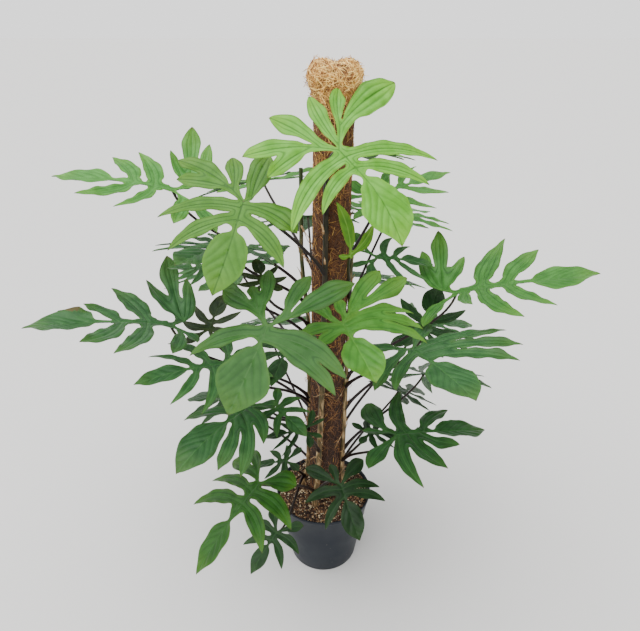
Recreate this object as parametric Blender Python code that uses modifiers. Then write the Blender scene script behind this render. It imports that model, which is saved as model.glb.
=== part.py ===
"""A philodendron pedatum that climbs a coir pole in a plain nursery pot.

Metres, +Z up. The origin is the middle of the pot's flat underside, and -Y is the plant's front.
The pieces are the pot, the potting mix, the pole's stake and its coir sleeve, five climbing stems
that each carry their own petioles, and one lobed blade for each leaf.
"""

import math
import random

import bmesh
import bpy
from mathutils import Matrix, Vector
from mathutils.geometry import delaunay_2d_cdt

# Driving dimensions
COLLECTION = "potted_philodendron"
CM = 0.01
GAP = 0.0003
POT_HEIGHT = 0.206
POT_RIM_RADIUS = 0.120
POT_BASE_RADIUS = 0.086
POT_WALL = 0.002
POT_LIP = 0.0015
POT_LIP_HEIGHT = 0.008
POT_BEVEL = 0.001
POT_FOOT_BEVEL = 0.003
POT_SIDES = 40
DRAIN_HOLES = 6
DRAIN_RING = 0.055
DRAIN_RADIUS = 0.006
HOLE_SIDES = 12
CUT_PAST = 0.01
MIX_TOP = 0.198
MIX_RINGS = (0.052, 0.070, 0.090)
MIX_LUMP = 0.003
POLE_RADIUS = 0.0377
POLE_TOP = 1.215
POLE_FOOT = 0.006
POLE_LEAN = 0.0151
POLE_SIDES = 24
STAKE_RADIUS = 0.016
STAKE_TOP = 1.170
STAKE_SIDES = 16
BLADE = 0.001
SEED = 7

# Sleeve's folded head: radius and depth under the pole's top, from the middle outwards and down,
# then the two creases as (angle, width in degrees, share of the depth) and the dip between the lobes
HEAD_PROFILE = ((0.0, 0.006), (0.016, 0.0), (0.032, 0.001), (0.043, 0.009), (0.048, 0.023),
                (0.0465, 0.040), (0.0405, 0.054), (POLE_RADIUS, 0.066))
HEAD_HEIGHT = 0.062
HEAD_CREASES = ((-84, 16, 1.0), (100, 18, 0.6))
CREASE_DEPTH = 0.16
HEAD_STRETCH = 0.04
HEAD_DIP = 0.007
HEAD_DIP_WIDTH = 0.009
# Heights where the sleeve's column is drawn in a little (1) or full (0)
SLEEVE_WAIST = 0.0007
SLEEVE_WAISTS = ((0.95, 1), (0.75, 0), (0.50, 1), (0.30, 0))

# Stems: depth of the foot, how far the feet stand out from the pole, where that ends, turns a metre
STEM_SINK = 0.035
STEM_SPREAD = 0.0125
SPREAD_LOW = 0.215
SPREAD_HIGH = 0.30
STEM_WIND = 2.6
STEM_TAPER = 0.25
STEM_POINTS = 18
# Lowest place for a petiole's foot, and how far under its stem's top the highest one is
LOWEST_NODE = 0.235
TOP_NODE = 0.01
# Petioles: radius, how far below the blade they start, then their directions as (outward, up)
PETIOLE_BASE = 0.0042
PETIOLE_TIP = 0.0026
PETIOLE_POINTS = 8
PETIOLE_DROP = 0.08
PETIOLE_SLOPE = 0.55
PETIOLE_LEAVE = (0.5, 0.75)
PETIOLE_ARRIVE = (0.5, 0.85)
PETIOLE_HANDLES = (0.35, 0.30)

# Blade shape: rear rib's angle, how far a side rib's handle stands back from its chord, then the
# cuts between the lobes: half width of the end lobe's waist and distance from the petiole's joint to
# the cuts beside it and behind it, as shares of the blade's reach
REAR_RIB = 132
SICKLE = 0.20
REAR_SICKLE = 0.08
WAIST = 0.026
NECK = 0.06
NECK_ANGLE = 104
BACK_NOTCH = 0.03
# Share of their ribs up to which two lobes share a web. Front lobes go by how far apart they leave
# the midrib, in half widths, and rear lobes by the degrees between them: close ones are only teeth
WEB_APART = (0.12, 0.40, 0.66, 0.86)
WEB_SHARE = (0.70, 0.42, 0.20, 0.06)
TEETH_APART = (18, 26)
TEETH_SHARE = (0.60, 0.12)
# Most of the way to its neighbour's rib that a lobe may fill: side lobes, the end lobe, and a side
# lobe towards the end lobe
MOST_WIDTH = 0.45
END_WIDTH = 0.66
BY_END_WIDTH = 0.30
END_LOBE = 15
WIDE_LOBE = 3.9
# Blade relief: slope beside the ribs and where it eases, turn of the lobes, softness between them
RIB_LIFT = 0.20
RIB_EASE = 0.03
LOBE_TURN = 0.22
TURN_STEP = 2.4
RIB_SOFT = 0.003
RIB_STEPS = 10
MID_RIB = 0.50
SAME_PLACE = 0.0008
# Shares of a rib: from a web's end to the first edge point, and half the run that gives the
# direction across the rib there. Then the steps of the search for the neighbour's nearest place
EDGE_START = 0.04
EDGE_RUN = 0.02
ROOM_STEPS = 12
# Edges as (share of the rib, share of the half width)
END_EDGE = ((0.08, 0.34), (0.22, 0.80), (0.46, 1.0), (0.76, 0.72))
WIDE_EDGE = ((0.42, 1.0), (0.78, 0.70))
SIDE_EDGE = ((0.45, 1.0),)
REAR_EDGE = ((0.36, 0.84), (0.74, 0.96))

# Climbing stems: side of the pole in degrees from +X, top of the stem, radius, turn on the way up
STEMS = {
    "stem_front": (-118, 1.02, 0.0070, 14),
    "stem_left": (172, 1.02, 0.0055, -12),
    "stem_right": (-22, 0.86, 0.0055, 10),
    "stem_back_right": (48, 0.98, 0.0055, -10),
    "stem_back_left": (116, 0.95, 0.0055, 12),
}
# How far a stem's top stands off the pole, and the heights between which it leans out
STEM_LEAN = {"stem_left": 0.021}
LEAN_LOW = 0.62
LEAN_HIGH = 0.86

# Lobe patterns, as shares of the leaf's reach: angle from the end lobe in degrees (positive is the
# leaf's right), reach, width, root along the midrib (negative: along the rear rib), lift of the tip
PATTERNS = {
    "broad": [
        (0, 1.00, 0.42, 0.34, 0.0),
        (40, 0.88, 0.17, 0.26, 0.0), (-43, 0.86, 0.17, 0.24, 0.0),
        (64, 0.86, 0.18, 0.10, 0.0), (-67, 0.84, 0.18, 0.09, 0.0),
        (98, 0.66, 0.16, -0.18, 0.05), (-95, 0.68, 0.16, -0.18, 0.05),
        (126, 0.72, 0.24, -0.24, 0.10), (-124, 0.70, 0.22, -0.24, 0.10),
        (156, 0.56, 0.15, -0.20, 0.06), (-158, 0.54, 0.15, -0.20, 0.06),
    ],
    "slim": [
        (0, 1.00, 0.30, 0.38, 0.0),
        (34, 0.90, 0.13, 0.32, 0.0), (-36, 0.88, 0.13, 0.30, 0.0),
        (58, 0.88, 0.14, 0.14, 0.0), (-60, 0.90, 0.14, 0.13, 0.0),
        (104, 0.74, 0.18, -0.18, 0.08), (-108, 0.76, 0.18, -0.18, 0.08),
        (146, 0.60, 0.15, -0.18, 0.04), (-142, 0.62, 0.15, -0.18, 0.04),
    ],
    "small": [
        (0, 1.00, 0.40, 0.30, 0.0),
        (44, 0.84, 0.20, 0.20, 0.0), (-46, 0.82, 0.20, 0.18, 0.0),
        (82, 0.74, 0.22, 0.03, 0.0), (-80, 0.76, 0.22, 0.03, 0.0),
        (128, 0.62, 0.24, -0.16, 0.04), (-130, 0.64, 0.24, -0.16, 0.04),
    ],
}

# Leaves: stem, place of the blade's base in cm, (heading, pitch, roll) in degrees, (end, side)
# droop per metre, shade, then a pattern with its reach in cm or the leaf's own lobes in cm
LEAVES = {
    "leaf_crown": ("stem_front", (2.2, -15, 108.5), (-30, -38, -26), (1.0, 0.8), "light", [
        (9, 19, 10, 6, 0), (57, 12.5, 2.4, 4, 0), (70, 17.5, 3.4, 1.6, 0),
        (104, 13.5, 2.8, -4.5, 0), (122, 16, 3.6, -5, 0), (156, 12.5, 4.4, -3, 0),
        (-161, 11.5, 3.2, -0.8, 0), (-134, 13.5, 3, -5, 0), (-103, 22, 6, -5, 0),
        (-53, 19, 3.0, 1.6, 0), (-35, 17, 2.8, 4, 0)]),
    "leaf_upper_left": ("stem_front", (-13.3, -20, 101.2), (-104, -35, 9), (2.0, 1.3), "light", [
        (3, 16.7, 6.8, 5.2, 0), (43, 14.4, 2.9, 3.5, 0), (70, 14.2, 3.0, 1.2, 0),
        (104, 13, 3.2, -3.5, 0), (119, 16, 4.2, -3.5, 0), (154, 10.5, 3.2, -3, 0),
        (-172, 11.5, 4.6, -1.5, 0), (-69, 10.5, 5.4, 0.5, 0), (-42, 13.5, 3.2, 3.5, 0)]),
    "leaf_far_left": ("stem_left", (-29.8, 0, 98.2), (190, 17, 8), (1.4, 1.0), "mid", [
        (2, 22.5, 8.6, 10.8, 0), (41, 17.6, 4.2, 7.4, 1), (58, 16, 3.8, 3.6, 2.3),
        (80, 12, 3, -4.5, 4.4), (94, 18, 6.4, -4.5, 9.5), (111, 15.5, 3.6, -4.5, 7.5),
        (-32, 19, 3.4, 7.4, 1.5), (-52, 15, 2.6, 3.4, 0.5), (-96, 13, 3.2, -3, 0),
        (-132, 14, 3.6, -4, -1)]),
    "leaf_left": ("stem_left", (-31.4, -8, 72.4), (196, 17, -4), (1.4, 1.0), "deep", [
        (-2, 27.5, 10.4, 13.8, 1), (17, 18, 4.4, 9.8, 2.2), (47, 18, 4.6, 4.4, 3.4),
        (70, 15.5, 4.4, -4.5, 5.4), (86, 20, 7.6, -4.5, 11), (103, 15, 4.2, -4.5, 7),
        (-36, 20.4, 4.2, 9.4, 2), (-54, 18, 4.2, 4.6, 1), (-89, 12, 3, -3, 0),
        (-128, 8, 3.2, -3, 0)]),
    "leaf_front": ("stem_front", (-9, -33, 85.3), (-112, -30, 1), (1.6, 1.5), "mid", [
        (3, 14.8, 9.0, 3, 0), (57, 13.1, 3.8, 1.5, 0), (118, 12.6, 4.6, -3.5, 0),
        (139, 9.5, 2.8, -3.5, 0), (157, 12.5, 3, -3, 0), (-166, 12, 3, -3, 0),
        (-140, 16, 5.4, -3.5, 0), (-71, 15.2, 3.8, 1.6, 0), (-60, 15.7, 3.8, 2.2, 0)]),
    "leaf_middle": ("stem_front", (2.9, -25, 81.7), (-66, -15, -6), (1.8, 1.0), "bright", [
        (2, 13.6, 7, 3.4, 1), (60, 7.5, 3, 1.8, 0), (90, 8, 3.4, 0.5, 0), (162, 8, 2.8, -2, -1),
        (-160, 7, 2.4, -1.5, -0.5), (-126, 14, 4.6, -3, 3), (-105, 15, 5.6, -3, 3.7),
        (-91, 14.6, 3, 0.2, -2), (-81, 15.5, 3.8, 1, -3.7), (-71, 15.6, 3.8, 2.2, -4.6)]),
    "leaf_far_right": ("stem_right", (28.3, 0, 75.9), (-12, 20, -1), (1.0, 0.5), "mid", [
        (4, 28.3, 9.8, 14.8, 2), (31, 21.6, 3.8, 10.4, 0), (51, 19.5, 3.8, 5.4, 0.5),
        (70, 10, 2.8, 2, 1.5), (127, 12, 3.6, -3, -1), (-113, 17, 4.2, -4.5, 6.5),
        (-96, 19, 5.8, -4.5, 9.5), (-79, 14, 3.4, -4, 3), (-52, 20, 5.4, 5.4, 5),
        (-30, 21.5, 5, 10.4, 3)]),
    "leaf_right": ("stem_right", (17.1, -15, 70.8), (-62, 5, -5), (1.8, 1.5), "deep", [
        (3, 19.2, 9, 5.8, 1.7), (50, 13, 3.6, 1.5, 0), (66, 14, 3.4, -1, 0), (138, 10, 3.4, -3, 0),
        (-126, 12, 3.8, -3, 1), (-68, 19, 4.6, 0.4, 3.8), (-57, 21.2, 4.2, 2.4, 3.1),
        (-49, 20.2, 4, 4.4, 1)]),
    "leaf_right_upright": ("stem_right", (23.1, 4, 64.8), (66, 34, -3), (1.6, 1.2), "dark",
                           ("small", 13.3)),
    "leaf_right_back": ("stem_right", (24, 4, 53), (-33, 15, 16), (1.6, 1.2), "deep",
                        ("slim", 16.5)),
    "leaf_low_right": ("stem_right", (15.9, -12, 47.5), (8, 4, 5), (1.6, 1.4), "dark", [
        (-3, 21, 7.4, 8, 0.5), (27, 13.5, 4.8, 5, 1), (58, 14, 5, 2.5, 0),
        (86, 16, 3.4, 0.5, 0), (134, 12, 4, -3, 0), (-149, 8, 3, -2, 0),
        (-104, 15, 5, -3.5, 1.5), (-72, 17, 3.6, 2, 3), (-30, 17, 4.4, 6, 1)]),
    "leaf_over_pot": ("stem_front", (3.6, -19, 39.6), (-68, -36, 0), (1.9, 2.0), "dark", [
        (-3, 11.7, 5.0, 3, 0), (38, 9.6, 2.2, 2.5, 0), (81, 8.6, 2.6, 1, 0), (131, 8.5, 3, -2, 0),
        (170, 5, 2.2, -1, 0), (-119, 8, 3.2, -2, 0), (-73, 9, 2.2, 0.8, 0), (-57, 10.6, 2.4, 2, 0)]),
    "leaf_low_front": ("stem_front", (-13.7, -22, 42.8), (-132, -22, -12), (1.7, 1.8), "fresh", [
        (1, 20.4, 6.2, 8.5, 0), (54, 17.9, 3.2, 5, 0), (73, 14.7, 2.8, 2, 0), (98, 13, 4.4, -2, 0),
        (120, 11.5, 3, -3, 0), (-116, 9, 5, -2, 0), (-75, 13.8, 3.8, 2, 0), (-48, 14.9, 3.6, 5, 0)]),
    "leaf_low_left": ("stem_left", (-15.1, -16, 58), (-132, -1, -6), (2.0, 1.5), "deep", [
        (-2, 19.9, 9, 6, 0), (45, 14, 4, 3.5, 0), (80, 12, 3.4, 1, 0), (122, 10, 3.4, -3, 0),
        (-132, 5.5, 3, -2, 0), (-60, 12, 3.2, 1, 0), (-42, 18.5, 4, 2.5, 0), (-27, 17, 5, 4.5, 0)]),
    "leaf_by_rim": ("stem_left", (-11, -16, 22.3), (-128, -24, -5), (2.0, 1.5), "dark",
                    ("small", 10.5)),
    "leaf_left_small": ("stem_left", (-26, 2, 66), (72, 36, 0), (2.0, 1.5), "olive",
                        ("small", 10)),
    "leaf_left_tiny": ("stem_left", (-23.7, -6, 84), (172, 2, 8), (2.0, 1.5), "deep", ("small", 8)),
    "leaf_left_behind": ("stem_left", (-17.5, -11, 90.5), (245, 14, 0), (1.6, 1.2), "deep",
                         ("broad", 16)),
    "leaf_left_lower": ("stem_left", (-20.1, -15.3, 67.6), (206, 9, 2), (1.8, 1.2), "deep",
                        ("slim", 17)),
    "leaf_inner_left": ("stem_left", (-10.0, -12.8, 55.2), (-40, -16, 0), (2.0, 1.5), "deep",
                        ("small", 9)),
    "leaf_inner": ("stem_front", (-7.6, -9.4, 68), (-106, -12, 0), (2.0, 1.5), "dark",
                   ("small", 10.5)),
    "leaf_low_inner": ("stem_front", (-4.5, -13, 49.5), (176, -12, 0), (2.0, 1.5), "dark",
                       ("slim", 9)),
    "leaf_low_behind": ("stem_left", (-9, -5, 34), (176, -12, 0), (2.0, 1.5), "dark",
                        ("small", 8.5)),
    "leaf_low_side": ("stem_right", (10.5, -6.5, 43.4), (10, -8, 0), (2.0, 1.5), "dark",
                      ("small", 8)),
    "leaf_folded": ("stem_left", (-11.5, -13, 84), (108, 28, 4), (2.0, 1.5), "olive",
                    ("small", 6.5)),
    "leaf_upper_right": ("stem_back_right", (12, 8.5, 95), (11, 21, -8), (1.4, 1.2), "mid",
                         ("slim", 16)),
    "leaf_right_inner": ("stem_back_right", (12, 9.5, 80.5), (8, -6, -12), (1.4, 1.2), "deep",
                         ("slim", 14)),
    "leaf_back_01": ("stem_back_right", (6, 16, 103), (70, -10, 0), (1.6, 1.2), "light",
                     ("broad", 17)),
    "leaf_back_02": ("stem_back_left", (-14, 18, 96), (122, -8, 5), (1.6, 1.2), "mid",
                     ("slim", 18)),
    "leaf_back_03": ("stem_back_right", (16, 22, 87), (50, -4, -5), (1.5, 1.2), "mid",
                     ("broad", 18)),
    "leaf_back_04": ("stem_back_left", (-4, 30, 84), (96, -22, 0), (1.6, 1.2), "mid",
                     ("broad", 19)),
    "leaf_back_05": ("stem_back_left", (-22, 22, 74), (136, -4, 6), (1.5, 1.2), "deep",
                     ("slim", 21)),
    "leaf_back_06": ("stem_back_right", (12, 33, 66), (66, -14, 0), (1.6, 1.2), "deep",
                     ("broad", 20)),
    "leaf_back_07": ("stem_back_right", (25, 18, 58), (28, -4, -6), (1.5, 1.2), "deep",
                     ("slim", 19)),
    "leaf_back_08": ("stem_back_left", (-16, 28, 54), (116, -16, 0), (1.7, 1.3), "deep",
                     ("broad", 18)),
    "leaf_back_09": ("stem_back_left", (4, 26, 42), (84, -24, 0), (1.8, 1.4), "dark",
                     ("small", 15)),
    "leaf_back_10": ("stem_back_left", (-25, 13, 40), (156, -12, 4), (1.8, 1.4), "dark",
                     ("small", 15)),
    "leaf_back_11": ("stem_back_right", (21, 20, 37), (44, -20, -4), (1.8, 1.4), "dark",
                     ("small", 14)),
    "leaf_young": ("stem_right", (5, -8, 87.2), (102, 84, 0), (0.5, 2.0), "young", [
        (-14, 11, 2.4, 1.2, 0), (34, 7.6, 2.6, 0.5, 1), (-80, 2.4, 1.4, 0.3, 0)]),
}

SHADES = {
    "light": (0.22, 0.45, 0.10), "bright": (0.17, 0.40, 0.07), "mid": (0.10, 0.28, 0.07),
    "fresh": (0.07, 0.26, 0.04), "deep": (0.05, 0.18, 0.06), "dark": (0.025, 0.11, 0.04),
    "olive": (0.09, 0.17, 0.03), "young": (0.35, 0.50, 0.06),
}


def clear_scene():
    for obj in list(bpy.data.objects):
        bpy.data.objects.remove(obj, do_unlink=True)


def new_collection(name, hidden=False):
    group = bpy.data.collections.new(name)
    bpy.context.scene.collection.children.link(group)
    group.hide_render = hidden
    return group


def material(name, colour, roughness, metallic=0.0):
    made = bpy.data.materials.get(name)
    if made is None:
        made = bpy.data.materials.new(name)
        made.use_nodes = True
        shader = made.node_tree.nodes["Principled BSDF"]
        shader.inputs["Base Color"].default_value = (*colour, 1.0)
        shader.inputs["Roughness"].default_value = roughness
        shader.inputs["Metallic"].default_value = metallic
    return made


def add_object(name, data, group, finish=None):
    obj = bpy.data.objects.new(name, data)
    group.objects.link(obj)
    if finish:
        obj.data.materials.append(finish)
    return obj


def turned(name, profile, sides, group, finish):
    """A turned shape: the profile runs down its outer side, top to bottom."""
    mesh = bpy.data.meshes.new(name)
    mesh.from_pydata([(r, 0, z) for r, z in profile],
                     [(i, i + 1) for i in range(len(profile) - 1)], [])
    obj = add_object(name, mesh, group, finish)
    screw = obj.modifiers.new("Screw", "SCREW")
    screw.steps = screw.render_steps = sides
    screw.use_merge_vertices = True
    screw.merge_threshold = 0.00001
    return obj


def baked(obj):
    """The object's evaluated mesh put in place of its modifiers, with its doubles merged."""
    bpy.context.view_layer.update()
    evaluated = obj.evaluated_get(bpy.context.evaluated_depsgraph_get())
    mesh = bpy.data.meshes.new_from_object(evaluated)
    made = bmesh.new()
    made.from_mesh(mesh)
    bmesh.ops.remove_doubles(made, verts=made.verts, dist=0.00001)
    bmesh.ops.recalc_face_normals(made, faces=made.faces)
    made.to_mesh(mesh)
    made.free()
    if obj.type == "MESH":
        obj.modifiers.clear()
        obj.data = mesh
        return obj
    name, group, place = obj.name, obj.users_collection[0], obj.matrix_world.copy()
    bpy.data.objects.remove(obj, do_unlink=True)
    solid = bpy.data.objects.new(name, mesh)
    solid.matrix_world = place
    group.objects.link(solid)
    return solid


def cut(obj, cutters, operation="DIFFERENCE"):
    """A Boolean with a whole collection, left as a live modifier."""
    boolean = obj.modifiers.new("Cut", "BOOLEAN")
    boolean.operation = operation
    boolean.operand_type = "COLLECTION"
    boolean.collection = cutters


def cylinder(name, radius, low, high, place, sides, group):
    made = bmesh.new()
    bmesh.ops.create_cone(made, cap_ends=True, segments=sides, radius1=radius, radius2=radius,
                          depth=high - low,
                          matrix=Matrix.Translation((place[0], place[1], (low + high) / 2)))
    mesh = bpy.data.meshes.new(name)
    made.to_mesh(mesh)
    made.free()
    return add_object(name, mesh, group)


def tube(name, points, radii, group, bevel_resolution=1):
    """A curve through the points, with a round section whose radius changes along it."""
    curve = bpy.data.curves.new(name, "CURVE")
    curve.dimensions = "3D"
    curve.bevel_depth = 1.0
    curve.bevel_resolution = bevel_resolution
    curve.use_fill_caps = True
    spline = curve.splines.new("POLY")
    spline.points.add(len(points) - 1)
    for point, place, radius in zip(spline.points, points, radii):
        point.co = (*place, 1.0)
        point.radius = radius
    return add_object(name, curve, group)


# The pot and what stands in it

def pot_radius(z):
    return POT_BASE_RADIUS + (POT_RIM_RADIUS - POT_LIP - POT_BASE_RADIUS) * z / POT_HEIGHT


def build_pot(group, cutters):
    lip = POT_HEIGHT - POT_LIP_HEIGHT
    profile = [
        (0.0, POT_WALL), (POT_BASE_RADIUS - 2 * POT_WALL, POT_WALL),
        (pot_radius(POT_WALL) - POT_WALL, 2.5 * POT_WALL),
        (pot_radius(POT_HEIGHT) - POT_WALL, POT_HEIGHT),
        (POT_RIM_RADIUS - 0.6 * POT_BEVEL, POT_HEIGHT), (POT_RIM_RADIUS, POT_HEIGHT - POT_BEVEL),
        (POT_RIM_RADIUS - 0.5 * POT_BEVEL, lip), (pot_radius(lip), lip - POT_BEVEL),
        (pot_radius(POT_FOOT_BEVEL), POT_FOOT_BEVEL), (POT_BASE_RADIUS - POT_FOOT_BEVEL, 0.0),
        (0.0, 0.0),
    ]
    pot = turned("pot", profile, POT_SIDES, group, material("pot_plastic", (0.05, 0.06, 0.07), 0.5))
    for number in range(DRAIN_HOLES):
        angle = math.tau * number / DRAIN_HOLES
        place = (DRAIN_RING * math.cos(angle), DRAIN_RING * math.sin(angle))
        cylinder(f"drain_cutter_{number}", DRAIN_RADIUS, -CUT_PAST, CUT_PAST, place, HOLE_SIDES,
                 cutters)
    baked(pot)
    cut(pot, cutters)


def pole_axis(z):
    return Vector((math.tan(POLE_LEAN) * z, 0.0, z))


def build_mix(group, cutters):
    """Potting mix that fills the pot, with a bore for the pole and plain holes for the stems."""
    bore = POLE_RADIUS + 2 * GAP
    wall = POT_WALL + 2 * GAP
    low = 2.5 * POT_WALL + GAP
    profile = [(r, MIX_TOP) for r in (bore, *MIX_RINGS, pot_radius(MIX_TOP) - wall)]
    profile += [(pot_radius(low) - wall, low), (bore, low), (bore, MIX_TOP)]
    mix = turned("potting_mix", profile, POT_SIDES, group,
                 material("potting_mix", (0.16, 0.09, 0.05), 0.95))
    baked(mix)
    draw = random.Random(SEED)
    for vertex in mix.data.vertices:
        radius = math.hypot(vertex.co.x, vertex.co.y)
        if radius < bore + GAP:
            vertex.co.x += math.tan(POLE_LEAN) * vertex.co.z
        elif vertex.co.z > MIX_TOP - GAP and radius < MIX_RINGS[-1] + GAP:
            vertex.co.z += draw.uniform(-MIX_LUMP, MIX_LUMP)
    for name, (_, _, radius, _) in STEMS.items():
        foot = stem_point(name, 0.0)
        cylinder(f"hole_{name}", radius + 1.5 * GAP, MIX_TOP - STEM_SINK - GAP, MIX_TOP + CUT_PAST,
                 foot, HOLE_SIDES, cutters)
    cut(mix, cutters)


def build_stake(group):
    stake = cylinder("pole_stake", STAKE_RADIUS, POLE_FOOT + GAP, STAKE_TOP, (0, 0), STAKE_SIDES,
                     group)
    stake.data.materials.append(material("stake_wood", (0.45, 0.30, 0.16), 0.7))
    stake.rotation_euler.y = POLE_LEAN


def build_sleeve(group):
    """The coir sleeve: a thick tube open at its foot, folded over at the top into two lobes."""
    inner = STAKE_RADIUS + GAP
    profile = [(radius, POLE_TOP - depth) for radius, depth in HEAD_PROFILE]
    profile += [(POLE_RADIUS - SLEEVE_WAIST * drawn_in, z) for z, drawn_in in SLEEVE_WAISTS]
    profile += [(POLE_RADIUS, POLE_FOOT), (inner, POLE_FOOT), (inner, STAKE_TOP + GAP),
                (0.0, STAKE_TOP + GAP)]
    sleeve = turned("coir_sleeve", profile, POLE_SIDES, group,
                    material("coir", (0.30, 0.15, 0.06), 0.9))
    baked(sleeve)
    for vertex in sleeve.data.vertices:
        place = vertex.co
        radius = math.hypot(place.x, place.y)
        head = min(1.0, max(0.0, 2 * (place.z - POLE_TOP + HEAD_HEIGHT) / HEAD_HEIGHT))
        if head == 0.0 or place.z < STAKE_TOP + 2 * GAP and radius < inner + GAP:
            continue
        angle = math.degrees(math.atan2(place.y, place.x))
        crease = sum(share * math.exp(-((angle - middle) / width) ** 2)
                     for middle, width, share in HEAD_CREASES)
        stretch = HEAD_STRETCH * abs(math.cos(math.radians(angle)))
        shrink = 1 - head * (CREASE_DEPTH * crease - stretch)
        place.x, place.y = place.x * shrink, place.y * shrink
        if place.z > POLE_TOP - HEAD_HEIGHT / 5:
            place.z -= HEAD_DIP * math.exp(-(place.x / HEAD_DIP_WIDTH) ** 2)
    sleeve.rotation_euler.y = POLE_LEAN


# Stems and petioles

def stem_point(name, share):
    """The middle of a climbing stem, from its foot in the mix (0) to its top (1)."""
    side, top, radius, turn = STEMS[name]
    foot = MIX_TOP - STEM_SINK
    z = foot + (top - foot) * share
    bent = max(z, SPREAD_LOW)
    angle = math.radians(side + turn * math.sin(STEM_WIND * (bent - foot)))
    spread = max(0.0, SPREAD_HIGH - bent) / (SPREAD_HIGH - SPREAD_LOW)
    lean = min(1.0, max(0.0, (z - LEAN_LOW) / (LEAN_HIGH - LEAN_LOW)))
    out = POLE_RADIUS + radius + 3 * GAP + STEM_SPREAD * spread ** 2
    out += STEM_LEAN.get(name, 0.0) * lean * lean * (3 - 2 * lean)
    place = pole_axis(bent) + Vector((out * math.cos(angle), out * math.sin(angle), 0))
    place.z = z
    return place


def leaf_axes(angles):
    """The blade's end direction, right side and upper normal."""
    heading, pitch, roll = (math.radians(angle) for angle in angles)
    end = Vector((math.cos(heading) * math.cos(pitch), math.sin(heading) * math.cos(pitch),
                  math.sin(pitch)))
    level = Vector((math.sin(heading), -math.cos(heading), 0))
    up = level.cross(end)
    side = level * math.cos(roll) + up * math.sin(roll)
    return end, side, up * math.cos(roll) - level * math.sin(roll)


def petiole_line(stem, share, base, angles):
    """Petiole from inside its stem, up and outwards, to just under the blade's base."""
    end, _, up = leaf_axes(angles)
    arrive = (PETIOLE_ARRIVE[0] * end + PETIOLE_ARRIVE[1] * up).normalized()
    tilt = math.sqrt(1 - arrive.dot(up) ** 2)
    tip = base - up * (BLADE / 2 + GAP + PETIOLE_TIP * tilt)
    foot = stem_point(stem, share)
    reach = (tip - foot).length
    outward = ((tip - foot) * Vector((1, 1, 0))).normalized()
    leave = (outward * PETIOLE_LEAVE[0] + Vector((0, 0, PETIOLE_LEAVE[1]))).normalized()
    handles = (foot, foot + leave * reach * PETIOLE_HANDLES[0],
               tip - arrive * reach * PETIOLE_HANDLES[1], tip)
    points = []
    for number in range(PETIOLE_POINTS):
        t = number / (PETIOLE_POINTS - 1)
        weights = ((1 - t) ** 3, 3 * t * (1 - t) ** 2, 3 * t * t * (1 - t), t ** 3)
        points.append(sum((handle * w for handle, w in zip(handles, weights)), Vector()))
    points[-2] = tip - arrive * (tip - points[-2]).length
    return points


def stem_share(stem, base):
    """Where a leaf's petiole leaves its stem: lower for a blade that stands further out."""
    top = STEMS[stem][1]
    foot = MIX_TOP - STEM_SINK
    side = stem_point(stem, 0.5)
    out = math.hypot(base.x - side.x, base.y - side.y)
    z = min(base.z - PETIOLE_DROP - PETIOLE_SLOPE * out, top - TOP_NODE)
    return (max(z, LOWEST_NODE) - foot) / (top - foot)


def build_stem(name, group):
    _, _, radius, _ = STEMS[name]
    points = [stem_point(name, number / (STEM_POINTS - 1)) for number in range(STEM_POINTS)]
    radii = [radius * (1 - STEM_TAPER * number / (STEM_POINTS - 1))
             for number in range(STEM_POINTS)]
    stem = baked(tube(name, points, radii, group, bevel_resolution=2))
    stem.data.materials.append(material("stem_bark", (0.09, 0.08, 0.03), 0.6))
    joined = new_collection(f"petioles_{name}", hidden=True)
    for leaf, (owner, place, angles, _, _, _) in LEAVES.items():
        if owner != name:
            continue
        base = Vector(place) * CM
        line = petiole_line(name, stem_share(name, base), base, angles)
        last = len(line) - 1
        sizes = [PETIOLE_BASE + (PETIOLE_TIP - PETIOLE_BASE) * i / last for i in range(last + 1)]
        baked(tube(f"petiole_{leaf}", line, sizes, joined))
    cut(stem, joined, "UNION")
    baked(stem)
    for obj in list(joined.objects):
        bpy.data.objects.remove(obj, do_unlink=True)
    bpy.data.collections.remove(joined)


# Leaf blades

def flat(angle, reach):
    """A place in the blade's plane: x to the right, y towards the end lobe."""
    return Vector((reach * math.sin(math.radians(angle)), reach * math.cos(math.radians(angle))))


def lobes_of(plan):
    """The blade's lobes in metres, from its left rear round the end lobe to its right rear."""
    if isinstance(plan, tuple):
        pattern, size = plan
        plan = [(angle, *(share * size for share in rest)) for angle, *rest in PATTERNS[pattern]]
    lobes = []
    for angle, reach, width, root, lift in sorted(plan):
        rear = math.copysign(REAR_RIB, angle)
        start = flat(0, root * CM) if root >= 0 else flat(rear, -root * CM)
        tip = flat(angle, reach * CM)
        run = tip - start
        back = Vector((run.y, -run.x)) * (1 if run.x > 0 else -1)
        is_end = abs(angle) < END_LOBE
        bend = (start + tip) / 2 + back * (SICKLE if root >= 0 else REAR_SICKLE)
        if is_end:
            bend = flat(0, (root + reach) * CM / 2)
        lobes.append({"ribs": (start, bend, tip), "half": width * CM / 2, "lift": lift * CM,
                      "end": is_end, "rear": root < 0, "wide": width > WIDE_LOBE, "angle": angle})
    return lobes


def rib(lobe, t):
    start, bend, tip = lobe["ribs"]
    return start * (1 - t) ** 2 + bend * (2 * t * (1 - t)) + tip * t * t


def between(value, marks, levels):
    """The level at a value, straight between the marks and flat beyond them."""
    if value <= marks[0]:
        return levels[0]
    for low, high, first, last in zip(marks, marks[1:], levels, levels[1:]):
        if value <= high:
            return first + (last - first) * (value - low) / (high - low)
    return levels[-1]


def web_share(one, other):
    """How far out two lobes share a web, as a share of their ribs: none at the joint or the waist."""
    if one["end"] or other["end"] or one["rear"] != other["rear"] or one["angle"] * other["angle"] < 0:
        return 0.0
    if one["rear"]:
        return between(abs(one["angle"] - other["angle"]), TEETH_APART, TEETH_SHARE)
    apart = (one["ribs"][0] - other["ribs"][0]).length / (one["half"] + other["half"])
    return between(apart, WEB_APART, WEB_SHARE)


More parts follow.
